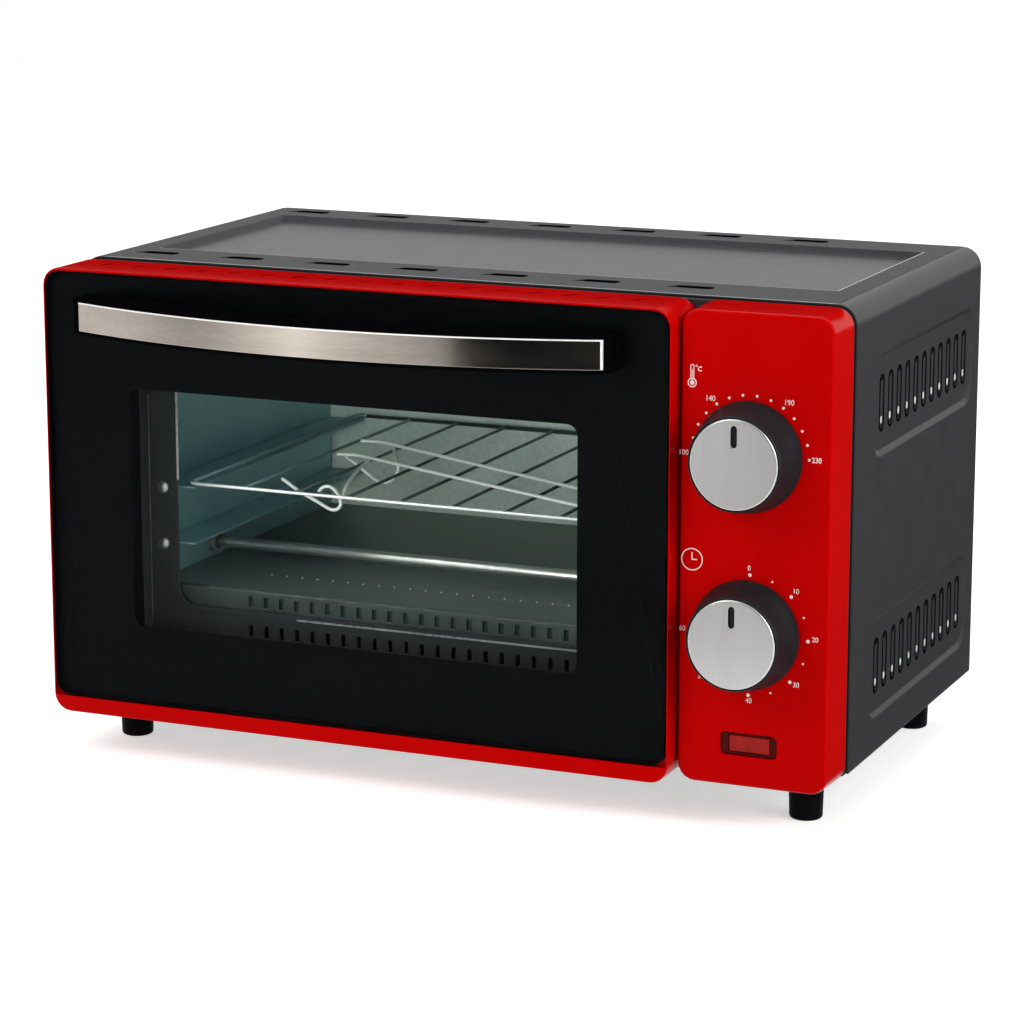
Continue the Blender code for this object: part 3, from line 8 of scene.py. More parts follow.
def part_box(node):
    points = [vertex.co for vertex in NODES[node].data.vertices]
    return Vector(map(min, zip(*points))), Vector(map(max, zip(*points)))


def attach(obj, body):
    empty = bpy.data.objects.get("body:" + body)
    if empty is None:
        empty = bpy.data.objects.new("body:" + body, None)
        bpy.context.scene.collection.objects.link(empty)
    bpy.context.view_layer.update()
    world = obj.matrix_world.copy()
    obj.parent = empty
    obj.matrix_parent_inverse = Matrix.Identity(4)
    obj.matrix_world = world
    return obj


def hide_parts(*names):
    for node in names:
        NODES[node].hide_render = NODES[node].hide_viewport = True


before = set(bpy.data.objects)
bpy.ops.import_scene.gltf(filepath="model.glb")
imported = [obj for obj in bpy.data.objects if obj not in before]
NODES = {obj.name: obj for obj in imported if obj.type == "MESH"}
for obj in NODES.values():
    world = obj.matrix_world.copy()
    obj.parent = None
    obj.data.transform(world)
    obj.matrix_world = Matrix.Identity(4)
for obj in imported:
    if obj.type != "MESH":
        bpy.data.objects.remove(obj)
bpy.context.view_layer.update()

# Camera: a long lens in front of the oven, to its right and a little above it,
# where the photograph was taken from.
turned_left = math.radians(23.40)
tipped_down = math.radians(12.46)
camera_data = bpy.data.cameras.new("camera")
camera_data.lens = 121.5
camera_data.sensor_width = 36
camera_data.clip_end = 50
camera = bpy.data.objects.new("camera", camera_data)
camera.location = (0.6088, -1.4024, 0.4455)
camera.rotation_euler = (math.radians(90) - tipped_down, 0, turned_left)
bpy.context.scene.collection.objects.link(camera)
bpy.context.scene.camera = camera

# Studio surround: white for whatever the camera sees directly, in a gloss or through the glass,
# and a softer white for the light that it sheds on the oven.
bpy.context.scene.view_settings.view_transform = "Standard"


def seen_directly(tree):
    path = tree.nodes.new("ShaderNodeLightPath")
    most = path.outputs["Is Camera Ray"]
    for kind in ("Is Glossy Ray", "Is Transmission Ray"):
        larger = tree.nodes.new("ShaderNodeMath")
        larger.operation = "MAXIMUM"
        tree.links.new(most, larger.inputs[0])
        tree.links.new(path.outputs[kind], larger.inputs[1])
        most = larger.outputs[0]
    return most


surround = bpy.data.worlds.new("surround")
bpy.context.scene.world = surround
surround.use_nodes = True
tree = surround.node_tree
tree.nodes.clear()
white = tree.nodes.new("ShaderNodeBackground")
white.inputs["Color"].default_value = (1, 1, 1, 1)
white.inputs["Strength"].default_value = 1.0
soft = tree.nodes.new("ShaderNodeBackground")
soft.inputs["Color"].default_value = (1, 1, 1, 1)
soft.inputs["Strength"].default_value = 0.42
either = tree.nodes.new("ShaderNodeMixShader")
output = tree.nodes.new("ShaderNodeOutputWorld")
tree.links.new(seen_directly(tree), either.inputs["Fac"])
tree.links.new(soft.outputs[0], either.inputs[1])
tree.links.new(white.outputs[0], either.inputs[2])
tree.links.new(either.outputs[0], output.inputs["Surface"])

# Floor: a seamless pale studio sheet. A little light of its own, for the camera and for glosses
# only, takes it to white away from the oven, and the oven's shadow stays on it.
floor_mesh = bpy.data.meshes.new("floor")
floor_mesh.from_pydata([(-3, -3, 0), (3, -3, 0), (3, 3, 0), (-3, 3, 0)], [], [(0, 1, 2, 3)])
floor = bpy.data.objects.new("floor", floor_mesh)
bpy.context.scene.collection.objects.link(floor)
sheet = bpy.data.materials.new("studio_sheet")
sheet.use_nodes = True
tree = sheet.node_tree
shader = tree.nodes["Principled BSDF"]
shader.inputs["Base Color"].default_value = (0.86, 0.86, 0.86, 1)
shader.inputs["Roughness"].default_value = 0.95
shader.inputs["Specular IOR Level"].default_value = 0.0
shader.inputs["Emission Color"].default_value = (1, 1, 1, 1)
lift = tree.nodes.new("ShaderNodeMath")
lift.operation = "MULTIPLY"
lift.inputs[1].default_value = 0.54
tree.links.new(seen_directly(tree), lift.inputs[0])
tree.links.new(lift.outputs[0], shader.inputs["Emission Strength"])
floor_mesh.materials.append(sheet)

# Lamps: a large soft box high on the left in front, which sets the knobs' soft shadows, a second
# on the right for the side faces, and a third behind and above for the sheen of the top.
for name, place, width, power in (
    ("left_box", (-1.5, -2.0, 2.3), 1.3, 30),
    ("right_box", (2.3, -0.5, 1.3), 1.5, 42),
    ("top_box", (-0.4, 0.9, 2.4), 1.6, 23),
):
    lamp_data = bpy.data.lights.new(name, "AREA")
    lamp_data.size = width
    lamp_data.energy = power
    lamp = bpy.data.objects.new(name, lamp_data)
    lamp.location = place
    lamp.rotation_euler = (Vector((0, 0, 0.1)) - Vector(place)).to_track_quat("-Z", "Y").to_euler()
    bpy.context.scene.collection.objects.link(lamp)

# Window lamp: a narrow beam from low in front, sent through the glass for the inside of the oven.
# No gloss shows it.
chamber_middle = Vector((-0.05, 0.05, 0.12))
lamp_data = bpy.data.lights.new("window_box", "AREA")
lamp_data.size = 0.25
lamp_data.energy = 0.11
lamp_data.spread = math.radians(24)
lamp = bpy.data.objects.new("window_box", lamp_data)
lamp.visible_glossy = False
lamp.location = (0.22, -1.35, 0.30)
lamp.rotation_euler = (chamber_middle - lamp.location).to_track_quat("-Z", "Y").to_euler()
bpy.context.scene.collection.objects.link(lamp)

# Black flags: velvet cards that only glossy surfaces see, as a studio sets them to draw an edge in
# bright metal and to keep a painted side from going pale.


def glossy_card(name, corners, faces, material):
    card_mesh = bpy.data.meshes.new(name)
    card_mesh.from_pydata(corners, [], faces)
    card_mesh.materials.append(material)
    card = bpy.data.objects.new(name, card_mesh)
    card.visible_camera = False
    card.visible_diffuse = False
    card.visible_transmission = False
    card.visible_shadow = False
    bpy.context.scene.collection.objects.link(card)
    return card_mesh


velvet = bpy.data.materials.new("black_velvet")
velvet.use_nodes = True
shader = velvet.node_tree.nodes["Principled BSDF"]
shader.inputs["Base Color"].default_value = (0.004, 0.004, 0.004, 1)
shader.inputs["Roughness"].default_value = 1.0
shader.inputs["Specular IOR Level"].default_value = 0.0
for name, corners in (
    ("flag_front", [(-0.035, -0.93, 0.0), (0.60, -0.88, 0.0), (0.60, -0.88, 1.2), (-0.035, -0.93, 1.2)]),
    ("flag_low", [(-0.035, -0.93, 0.001), (-0.008, -0.62, 0.001), (0.60, -0.62, 0.001), (0.60, -0.88, 0.001)]),
    ("flag_right", [(0.188, -0.1, 0.001), (2.2, 0.0, 0.001), (2.2, 3.0, 0.001), (0.188, 3.0, 0.001)]),
    ("flag_top", [(-0.20, -0.0625, 0.2222), (0.184, -0.0625, 0.2222), (0.184, -0.0625, 0.2350),
                  (-0.20, -0.0625, 0.2350)]),
):
    glossy_card(name, corners, [(0, 1, 2, 3)], velvet)

# Reflectors that only glossy surfaces see: a curved card, brighter and dimmer along its length,
# that shades the handle's steel strip along its bow, and a dim sheet on the floor for the lower
# knob's disc.
glowing = bpy.data.materials.new("glowing_card")
glowing.use_nodes = True
tree = glowing.node_tree
tree.nodes.clear()
glow = tree.nodes.new("ShaderNodeEmission")
level = tree.nodes.new("ShaderNodeAttribute")
level.attribute_name = "level"
tree.links.new(level.outputs["Fac"], glow.inputs["Strength"])
tree.links.new(glow.outputs[0], tree.nodes.new("ShaderNodeOutputMaterial").inputs["Surface"])
card_radius, card_height = 0.90, 0.5
turns = (-75, -60, -55, -51, -46, -41, -37, -32, -27, -23, -18, -13, -8, -4, -2.2)
levels = (0.88, 0.88, 0.80, 0.64, 0.54, 0.62, 0.86, 1.10, 1.5, 1.10, 0.88, 0.74, 0.62, 0.50, 0.40)
places = [(card_radius * math.sin(math.radians(turn)), -card_radius * math.cos(math.radians(turn)))
          for turn in turns]
count = len(places)
for name, corners, faces, brightness in (
    ("strip_card", [(x, y, 0.0) for x, y in places] + [(x, y, card_height) for x, y in places],
     [(i, i + 1, i + 1 + count, i + count) for i in range(count - 1)], levels + levels),
    ("grey_floor", [(-0.13, -0.58, 0.001), (0.10, -0.58, 0.001), (0.10, -0.36, 0.001),
                    (-0.13, -0.36, 0.001)], [(0, 1, 2, 3)], (0.12,) * 4),
):
    card_mesh = glossy_card(name, corners, faces, glowing)
    card_mesh.attributes.new("level", "FLOAT", "POINT").data.foreach_set("value", brightness)

# Casing, base tray and back panel: folded sheet steel with satin dark grey powder paint, whose
# skin has a fine orange peel. Every cut and fold has the small round that paint leaves on it.


cloud_size = 14
crease_angle = math.radians(28)


def finish(name, colour, deeper, roughness, grain, relief, stretch=(1, 1, 1), metal=0.0, gloss=0.5,
           uneven=0.06, soft_edge=0.0):
    material = bpy.data.materials.new(name)
    material.use_nodes = True
    nodes = material.node_tree.nodes
    link = material.node_tree.links.new
    shader = nodes["Principled BSDF"]
    shader.inputs["Metallic"].default_value = metal
    shader.inputs["Specular IOR Level"].default_value = gloss
    place = nodes.new("ShaderNodeTexCoord")
    drawn = nodes.new("ShaderNodeMapping")
    drawn.inputs["Scale"].default_value = stretch
    link(place.outputs["Object"], drawn.inputs["Vector"])
    fine = nodes.new("ShaderNodeTexNoise")
    fine.inputs["Scale"].default_value = grain
    fine.inputs["Detail"].default_value = 4
    cloud = nodes.new("ShaderNodeTexNoise")
    cloud.inputs["Scale"].default_value = grain / cloud_size
    cloud.inputs["Detail"].default_value = 3
    link(drawn.outputs["Vector"], fine.inputs["Vector"])
    link(drawn.outputs["Vector"], cloud.inputs["Vector"])
    both = nodes.new("ShaderNodeMath")
    both.operation = "MULTIPLY_ADD"
    both.inputs[1].default_value = 0.5
    half = nodes.new("ShaderNodeMath")
    half.operation = "MULTIPLY"
    half.inputs[1].default_value = 0.5
    link(cloud.outputs["Fac"], half.inputs[0])
    link(fine.outputs["Fac"], both.inputs[0])
    link(half.outputs[0], both.inputs[2])
    tone = nodes.new("ShaderNodeMapRange")
    tone.inputs["From Min"].default_value = 0.36
    tone.inputs["From Max"].default_value = 0.64
    link(both.outputs[0], tone.inputs["Value"])
    blend = nodes.new("ShaderNodeMix")
    blend.data_type = "RGBA"
    blend.inputs[6].default_value = (*deeper, 1)
    blend.inputs[7].default_value = (*colour, 1)
    link(tone.outputs["Result"], blend.inputs[0])
    link(blend.outputs[2], shader.inputs["Base Color"])
    shine = nodes.new("ShaderNodeMapRange")
    shine.inputs["From Min"].default_value = 0.3
    shine.inputs["From Max"].default_value = 0.7
    shine.inputs["To Min"].default_value = roughness - uneven
    shine.inputs["To Max"].default_value = roughness + uneven
    link(both.outputs[0], shine.inputs["Value"])
    link(shine.outputs["Result"], shader.inputs["Roughness"])
    skin = nodes.new("ShaderNodeBump")
    skin.inputs["Strength"].default_value = 0.7
    skin.inputs["Distance"].default_value = relief
    link(fine.outputs["Fac"], skin.inputs["Height"])
    link(skin.outputs["Normal"], shader.inputs["Normal"])
    if soft_edge:
        rounded_edge = nodes.new("ShaderNodeBevel")
        rounded_edge.samples = 4
        rounded_edge.inputs["Radius"].default_value = soft_edge
        link(rounded_edge.outputs["Normal"], skin.inputs["Normal"])
    return material


def welded(name, creased):
    group = bpy.data.node_groups.new(name, "GeometryNodeTree")
    group.interface.new_socket(name="Geometry", in_out="INPUT", socket_type="NodeSocketGeometry")
    group.interface.new_socket(name="Geometry", in_out="OUTPUT", socket_type="NodeSocketGeometry")
    arriving = group.nodes.new("NodeGroupInput")
    leaving = group.nodes.new("NodeGroupOutput")
    weld = group.nodes.new("GeometryNodeMergeByDistance")
    weld.inputs["Distance"].default_value = 0.000002
    group.links.new(arriving.outputs[0], weld.inputs["Geometry"])
    last = weld.outputs["Geometry"]
    for mark in ("custom_normal", "sharp_edge", "sharp_face"):
        wipe = group.nodes.new("GeometryNodeRemoveAttribute")
        wipe.inputs["Name"].default_value = mark
        group.links.new(last, wipe.inputs["Geometry"])
        last = wipe.outputs["Geometry"]
    smooth = group.nodes.new("GeometryNodeSetShadeSmooth")
    smooth.inputs["Shade Smooth"].default_value = True
    group.links.new(last, smooth.inputs["Geometry"])
    last = smooth.outputs["Geometry"]
    if creased:
        bend = group.nodes.new("GeometryNodeInputMeshEdgeAngle")
        steep = group.nodes.new("FunctionNodeCompare")
        steep.data_type = "FLOAT"
        steep.operation = "GREATER_THAN"
        steep.inputs["B"].default_value = crease_angle
        group.links.new(bend.outputs["Unsigned Angle"], steep.inputs["A"])
        crease = group.nodes.new("GeometryNodeStoreNamedAttribute")
        crease.data_type = "BOOLEAN"
        crease.domain = "EDGE"
        crease.inputs["Name"].default_value = "sharp_edge"
        group.links.new(steep.outputs["Result"], crease.inputs["Value"])
        group.links.new(last, crease.inputs["Geometry"])
        last = crease.outputs["Geometry"]
    group.links.new(last, leaving.inputs[0])
    return group


welded_skin = welded("welded_skin", False)
creased_skin = welded("creased_skin", True)


def dress(node, material, edge=0.0003, steps=2, sharper_than=32):
    piece = NODES[node]
    piece.material_slots[0].material = material
    skin = piece.modifiers.new("skin", "NODES")
    skin.node_group = welded_skin if edge else creased_skin
    if edge:
        flat = piece.modifiers.new("flat", "DECIMATE")
        flat.decimate_type = "DISSOLVE"
        flat.angle_limit = math.radians(0.3)
        round_off = piece.modifiers.new("round_off", "BEVEL")
        round_off.limit_method = "ANGLE"
        round_off.angle_limit = math.radians(sharper_than)
        round_off.width = edge
        round_off.segments = steps
        round_off.use_clamp_overlap = True
        round_off.miter_outer = "MITER_ARC"
    even = piece.modifiers.new("even", "WEIGHTED_NORMAL")
    even.keep_sharp = not edge
    even.weight = 80


grey_paint = finish("satin_grey_paint", (0.042, 0.042, 0.044), (0.037, 0.037, 0.039), 0.34, 900, 0.000006,
                    gloss=0.10, uneven=0.02, soft_edge=0.0012)
for sheet_part in ("outer_casing", "base_tray", "back_panel"):
    dress(sheet_part, grey_paint, 0)

# Top louvres: two rows of slots lanced through the casing's flat band. The sheet is drawn in at
# one end of each, and a thin near-black patch over each slot is painted shade for its inside.
painted_slot_shade = finish("vent_painted_shade", (0.0035, 0.0035, 0.004), (0.002, 0.002, 0.0025), 0.6, 900, 0.000004,
                     gloss=0.0)
casing_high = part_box("outer_casing")[1]
print_thickness = 0.00003


def plate(mesh, outline, hole, place, thickness):
    lines = [outline, outline] if hole is None else [outline, outline, hole, hole]
    depths = (0, thickness) if hole is None else (0, thickness, thickness, 0)
    rings = [[mesh.verts.new(place(u, v, depth)) for u, v in line] for line, depth in zip(lines, depths)]
    count = len(outline)
    if hole is None:
        mesh.faces.new(rings[0])
        mesh.faces.new(rings[1][::-1])
        pairs = ((0, 1),)
    else:
        pairs = ((0, 1), (1, 2), (2, 3), (3, 0))
    for a, b in pairs:
        for i in range(count):
            j = (i + 1) % count
            mesh.faces.new((rings[a][i], rings[a][j], rings[b][j], rings[b][i]))


def made(name, mesh, material, body):
    bmesh.ops.recalc_face_normals(mesh, faces=mesh.faces)
    drawn = bpy.data.meshes.new(name)
    mesh.to_mesh(drawn)
    mesh.free()
    drawn.materials.append(material)
    piece = bpy.data.objects.new(name, drawn)
    bpy.context.scene.collection.objects.link(piece)
    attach(piece, body)
    return piece


top_slot_shade = bmesh.new()
lanced = [(0.0, -0.0016), (0.0022, -0.0004), (0.0038, 0.0018), (0.0056, 0.0034), (0.0196, 0.0036),
          (0.0210, 0.0022), (0.0212, -0.0010), (0.0198, -0.0030), (0.0062, -0.0028),
          (0.0044, -0.0018), (0.0026, -0.0024)]
first_slot, slot_pitch = -0.1662, 0.0429
for row_y in (-0.0405, 0.1125):
    for i in range(7):
        start = first_slot + i * slot_pitch

        def on_top(u, v, depth):
            return (start + u, row_y + v, casing_high.z + 0.00002 + depth)

        plate(top_slot_shade, lanced, None, on_top, print_thickness)
made("top_vent_shade", top_slot_shade, painted_slot_shade, "cabinet")

# The casing's flat band round the pressed recess, in the same grey powder paint, but laid flatter
# than in the recess, so it shines less.
recess_left, recess_right, recess_front, recess_back = -0.1625, 0.1625, -0.0255, 0.0990
band_half_width, band_front, band_back, band_gap = 0.1740, -0.0590, 0.1230, 0.001
flat_paint = finish("flat_grey_paint", (0.042, 0.042, 0.044), (0.037, 0.037, 0.039), 0.45, 900,
                    0.000006, gloss=0.03, uneven=0.02)
band = bmesh.new()
plate(band, [(-band_half_width, band_front), (band_half_width, band_front),
             (band_half_width, band_back), (-band_half_width, band_back)],
      [(recess_left, recess_front - band_gap), (recess_right + 0.0004, recess_front - band_gap),
       (recess_right + 0.0004, recess_back + band_gap), (recess_left, recess_back + band_gap)],
      lambda u, v, depth: (u, v, casing_high.z - 0.00002 + depth), print_thickness)
made("casing_top_band", band, flat_paint, "cabinet")


# Painted highlights on the casing: pale lines along the lip over the door and the front and right
# edges of the pressed recess, where the bend of the sheet catches the light.
def rectangle(left, right, low, high):
    return [(left, low), (right, low), (right, high), (left, high)]


for name, tone, outline in (
    ("casing_lip_highlight", 0.42, rectangle(-0.1720, 0.1740, -0.0598, -0.0588)),
    ("recess_front_highlight", 0.20, rectangle(-0.1400, recess_right, recess_front - 0.0012, recess_front - 0.0002)),
    ("recess_right_highlight", 0.55, rectangle(recess_right, recess_right + 0.0005, recess_front, recess_back)),
):
    line_mesh = bmesh.new()
    plate(line_mesh, outline, None, lambda u, v, depth: (u, v, casing_high.z + 0.00001 + depth),
          print_thickness)
    paint_highlight = finish(name, (tone, tone, tone), (tone * 0.8, tone * 0.8, tone * 0.8), 0.35, 300,
                        0.000002, gloss=0.1)
    made(name, line_mesh, paint_highlight, "cabinet")

# Side louvres: upright slots punched in the two sunk fields of each side of the casing. A painted
# blade is left across each slot. A near-black ring round each slot is painted shade, and a pale
# spot at the blade's lower tip is a painted glint.
painted_glint_tip = finish("painted_glint_tip", (0.80, 0.80, 0.78), (0.70, 0.70, 0.68), 0.4, 900, 0.000004, metal=0.2)


def oval(width, height, steps=10):
    half = width / 2
    straight = height / 2 - half
    upper = [(half * math.cos(math.pi * i / steps), straight + half * math.sin(math.pi * i / steps))
             for i in range(steps + 1)]
    return upper + [(-x, -y) for x, y in upper]


side_shade_rims, side_blades, side_glints = bmesh.new(), bmesh.new(), bmesh.new()
field_depth, first_slot, slot_pitch, blade_shift = 0.0015, -0.0200, 0.0123, 0.0004
rim, opening = oval(0.0068, 0.0250), oval(0.0044, 0.0224)
blade = [(u * 0.72 - blade_shift, v) for u, v in oval(0.0044, 0.0196)]
tip = [(u - blade_shift, v - 0.0072) for u, v in oval(0.0021, 0.0032, 6)]
for side in (-1, 1):
    for middle in (0.1750, 0.0600):
        for i in range(11):
            slot_y = first_slot + i * slot_pitch

            def on_side(u, v, depth):
                return (side * (casing_high.x - field_depth + 0.00005 + depth), slot_y + u, middle + v)

            plate(side_shade_rims, rim, opening, on_side, 0.0002)
            plate(side_blades, blade, None, on_side, -0.0003)
            plate(side_glints, tip, None, on_side, 0.0001)
made("side_vent_shade_rims", side_shade_rims, painted_slot_shade, "cabinet")
made("side_vent_blades", side_blades, grey_paint, "cabinet")
made("side_vent_glints", side_glints, painted_glint_tip, "cabinet")

# Feet and cord bushing: moulded black rubber with a dull bloom. The feet are pressed into holes in
# the base tray, and the bushing into the back panel.
rubber = finish("black_rubber", (0.0028, 0.0028, 0.0042), (0.0018, 0.0018, 0.0028), 0.5, 1400, 0.00002,
                gloss=0.03)
for corner in ("front_left", "front_right", "rear_left", "rear_right"):
    dress(f"foot_{corner}", rubber, 0.0004, 3, 40)
dress("cord_bushing", rubber, 0.0003)

# Front fascia and the door's inner liner: pressed steel with fired black stove enamel. The fascia
# closes the front of the casing, and the liner is hooked into the back of the door frame.
enamel = finish("black_enamel", (0.029, 0.031, 0.034), (0.024, 0.026, 0.029), 0.36, 700, 0.000004, gloss=0.14,
                uneven=0.02, soft_edge=0.0005)
dress("front_fascia", enamel, 0)
dress("door_liner", enamel, 0)

# Painted highlights on the pressings: pale lines along the fold beside the opening, the opening's
# own edge and the crest of the slotted rail, where the bends catch the light.
fascia_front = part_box("front_fascia")[0].y
for name, tone, low, high in (("fold_highlight", 0.42, (-0.1492, 0.0590), (-0.1484, 0.1620)),
                              ("opening_highlight", 0.55, (-0.1345, 0.1240), (-0.1335, 0.1640)),
                              ("rail_highlight", 0.46, (-0.0750, 0.0641), (0.0790, 0.0649))):
    def beside(u, v, depth):
        return (u, fascia_front - 0.00005 - depth, v)

    edges = bmesh.new()
    plate(edges, rectangle(low[0], high[0], low[1], high[1]), None, beside, 0.0003)
    enamel_highlight = finish(name, (tone, tone, tone), (tone * 0.5, tone * 0.5, tone * 0.5), 0.3, 500,
                         0.000004, metal=0.2)
    made(name, edges, enamel_highlight, "cabinet")

# Painted shade behind the rail's slots: a near-black sheet a little way behind the rail, standing
# for the unlit space between the fascia and the chamber.
behind_rail = 0.0022
shade_sheet = bmesh.new()
plate(shade_sheet, rectangle(-0.1050, 0.0700, 0.0520, 0.0622), None,
      lambda u, v, depth: (u, fascia_front + behind_rail + depth, v), 0.0003)
made("rail_slot_shade", shade_sheet, painted_slot_shade, "cabinet")

# Chamber and runners: folded aluminised steel walls, ceiling, back and floor, hooked into each
# other and dulled by baking, with the soft green-grey cast that the tinted glass gives them. The
# steel is coloured wall by wall as painted shade: the floor much darker, the left wall and left
# runner darker and bluer than the ceiling and right wall, and the floor's front lip darker still.
def chamber_steel(name, colour, deeper, metal):
    return finish(name, colour, deeper, 0.42, 420, 0.00001, metal=metal, uneven=0.1, soft_edge=0.0004)


# Multiplies the base colour by a tint on one side of a plane: painted shade.
def shade_where(material, axis, test, limit, tint):
    nodes, link = material.node_tree.nodes, material.node_tree.links.new
    place = nodes.new("ShaderNodeTexCoord")
    split = nodes.new("ShaderNodeSeparateXYZ")
    inside = nodes.new("ShaderNodeMath")
    inside.operation = test
    inside.inputs[1].default_value = limit
    shade_mix = nodes.new("ShaderNodeMix")
    shade_mix.data_type = "RGBA"
    shade_mix.blend_type = "MULTIPLY"
    shade_mix.inputs[7].default_value = (*tint, 1)
    shader = nodes["Principled BSDF"]
    painted = shader.inputs["Base Color"].links[0].from_socket
    link(place.outputs["Object"], split.inputs[0])
    link(split.outputs[axis], inside.inputs[0])
    link(inside.outputs[0], shade_mix.inputs[0])
    link(painted, shade_mix.inputs[6])
    link(shade_mix.outputs[2], shader.inputs["Base Color"])


shaded_left_steel = chamber_steel("left_wall_shaded_steel", (0.25, 0.46, 0.49), (0.195, 0.37, 0.40), 0.45)
back_steel = chamber_steel("back_steel", (0.64, 0.73, 0.665), (0.47, 0.55, 0.50), 0.25)
plain_steel = chamber_steel("plain_steel", (0.62, 0.76, 0.72), (0.46, 0.58, 0.55), 0.4)
shaded_floor_steel = chamber_steel("shaded_floor_steel", (0.12, 0.158, 0.148), (0.085, 0.115, 0.107), 0.3)
floor_low, floor_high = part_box("chamber_floor")
lip_thickness = 0.0013
shade_where(shaded_floor_steel, "Y", "LESS_THAN", floor_low.y + lip_thickness, (0.34, 0.36, 0.35))
dress("chamber_ceiling", plain_steel, 0)
dress("chamber_floor", shaded_floor_steel, 0)
dress("chamber_back", back_steel, 0)
dress("chamber_left_wall", shaded_left_steel, 0)
dress("chamber_right_wall", plain_steel, 0)
dress("left_runner", shaded_left_steel, 0)
dress("right_runner", plain_steel, 0)

# Floor dimples and the space under the floor: a row of small dimples is pressed up in the steel
# near the lip, coloured near white as painted highlights, and a dim teal sheet behind the lip's
# slots is painted shade.
dimple_radius, dimple_pitch, first_dimple, dimple_row = 0.00042, 0.00776, -0.1049, -0.0302
dimples = bmesh.new()
for i in range(20):
    middle = (first_dimple + dimple_pitch * i, dimple_row, floor_high.z)
    bmesh.ops.create_uvsphere(dimples, u_segments=10, v_segments=6, radius=dimple_radius,
                              matrix=Matrix.Translation(middle))
dimple_highlight = finish("dimple_highlight", (0.80, 0.84, 0.80), (0.70, 0.74, 0.70), 0.35, 500, 0.000001, metal=0.2)
made("floor_dimples", dimples, dimple_highlight, "cabinet")
painted_lip_shade = finish("painted_lip_shade", (0.055, 0.088, 0.082), (0.03, 0.05, 0.046), 0.6, 300, 0.000004, gloss=0.0)
behind_lip = 0.0024
shade_sheet = bmesh.new()
plate(shade_sheet, rectangle(-0.1150, 0.0850, floor_low.z + 0.0006, floor_high.z - 0.0012), None,
      lambda u, v, depth: (u, floor_low.y + behind_lip + depth, v), 0.0003)
made("lip_slot_shade", shade_sheet, painted_lip_shade, "cabinet")

# Runner rivets: domed steel heads with a dull plate, set through the front fascia into the ends of
# the rack's runners, two on each side of the opening.
rivet_steel = finish("rivet_steel", (0.30, 0.30, 0.30), (0.22, 0.22, 0.22), 0.36, 1600, 0.000006, metal=0.9)
for number in range(1, 5):
    dress(f"runner_rivet_{number}", rivet_steel, 0)

# Heating elements: straight rods sheathed in steel, pale from the heat, one under the rack and one
# over it. Each end sits in a ceramic cap that is set into the chamber's side wall.
sheath = finish("heater_sheath", (0.82, 0.81, 0.77), (0.74, 0.73, 0.70), 0.30, 60, 0.000001, metal=0.9,
                uneven=0.02)
ceramic = finish("cap_ceramic", (0.17, 0.20, 0.19), (0.13, 0.15, 0.145), 0.5, 1200, 0.00002)


def curved(points, steps=6):
    line = []
    for i in range(len(points) - 1):
        before, start = Vector(points[max(i - 1, 0)]), Vector(points[i])
        end, after = Vector(points[i + 1]), Vector(points[min(i + 2, len(points) - 1)])
        for k in range(steps):
            t = k / steps
            squared = 2 * before - 5 * start + 4 * end - after
            cubed = 3 * start - before - 3 * end + after
            line.append(0.5 * (2 * start + (end - before) * t + squared * t ** 2 + cubed * t ** 3))
    line.append(Vector(points[-1]))
    return line


def wire(name, lines, radius, material, body, replaced, sides=14):
    mesh = bmesh.new()
    for line in lines:
        line = [Vector(point) for point in line]
        count = len(line)
        side = None
        rings = []
        for i, point in enumerate(line):
            along = (line[min(i + 1, count - 1)] - line[max(i - 1, 0)]).normalized()
            if side is None:
                side = along.cross(Vector((0, 0, 1)) if abs(along.z) < 0.9 else Vector((1, 0, 0)))
            side = (side - along * side.dot(along)).normalized()
            over = along.cross(side)
            grow = radius * (1 if 0 < i < count - 1 else 0.72)
            rings.append([mesh.verts.new(point + grow * (side * math.cos(2 * math.pi * k / sides)
                                                         + over * math.sin(2 * math.pi * k / sides)))
                          for k in range(sides)])
        for low, high in zip(rings, rings[1:]):
            for k in range(sides):
                mesh.faces.new((low[k], low[(k + 1) % sides], high[(k + 1) % sides], high[k]))
        mesh.faces.new(rings[0][::-1])
        mesh.faces.new(rings[-1])
    for face in mesh.faces:
        face.smooth = len(face.verts) == 4
    piece = made(name, mesh, material, body)
    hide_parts(replaced)
    return piece


for level in ("lower", "upper"):
    rod_low, rod_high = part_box(f"{level}_heater")
    rod_y, rod_z = (rod_low.y + rod_high.y) / 2, (rod_low.z + rod_high.z) / 2
    rod_radius = (rod_high.z - rod_low.z) / 2 - 0.0006
    along_rod = (rod_low.x + 0.0001, rod_low.x + 0.0006, rod_high.x - 0.0006, rod_high.x - 0.0001)
    wire(f"{level}_heater_rod", [[(x, rod_y, rod_z) for x in along_rod]], rod_radius, sheath, "cabinet",
         f"{level}_heater", 24)
    dress(f"{level}_heater_left_cap", ceramic, 0.0003)
    dress(f"{level}_heater_right_cap", ceramic, 0.0003)

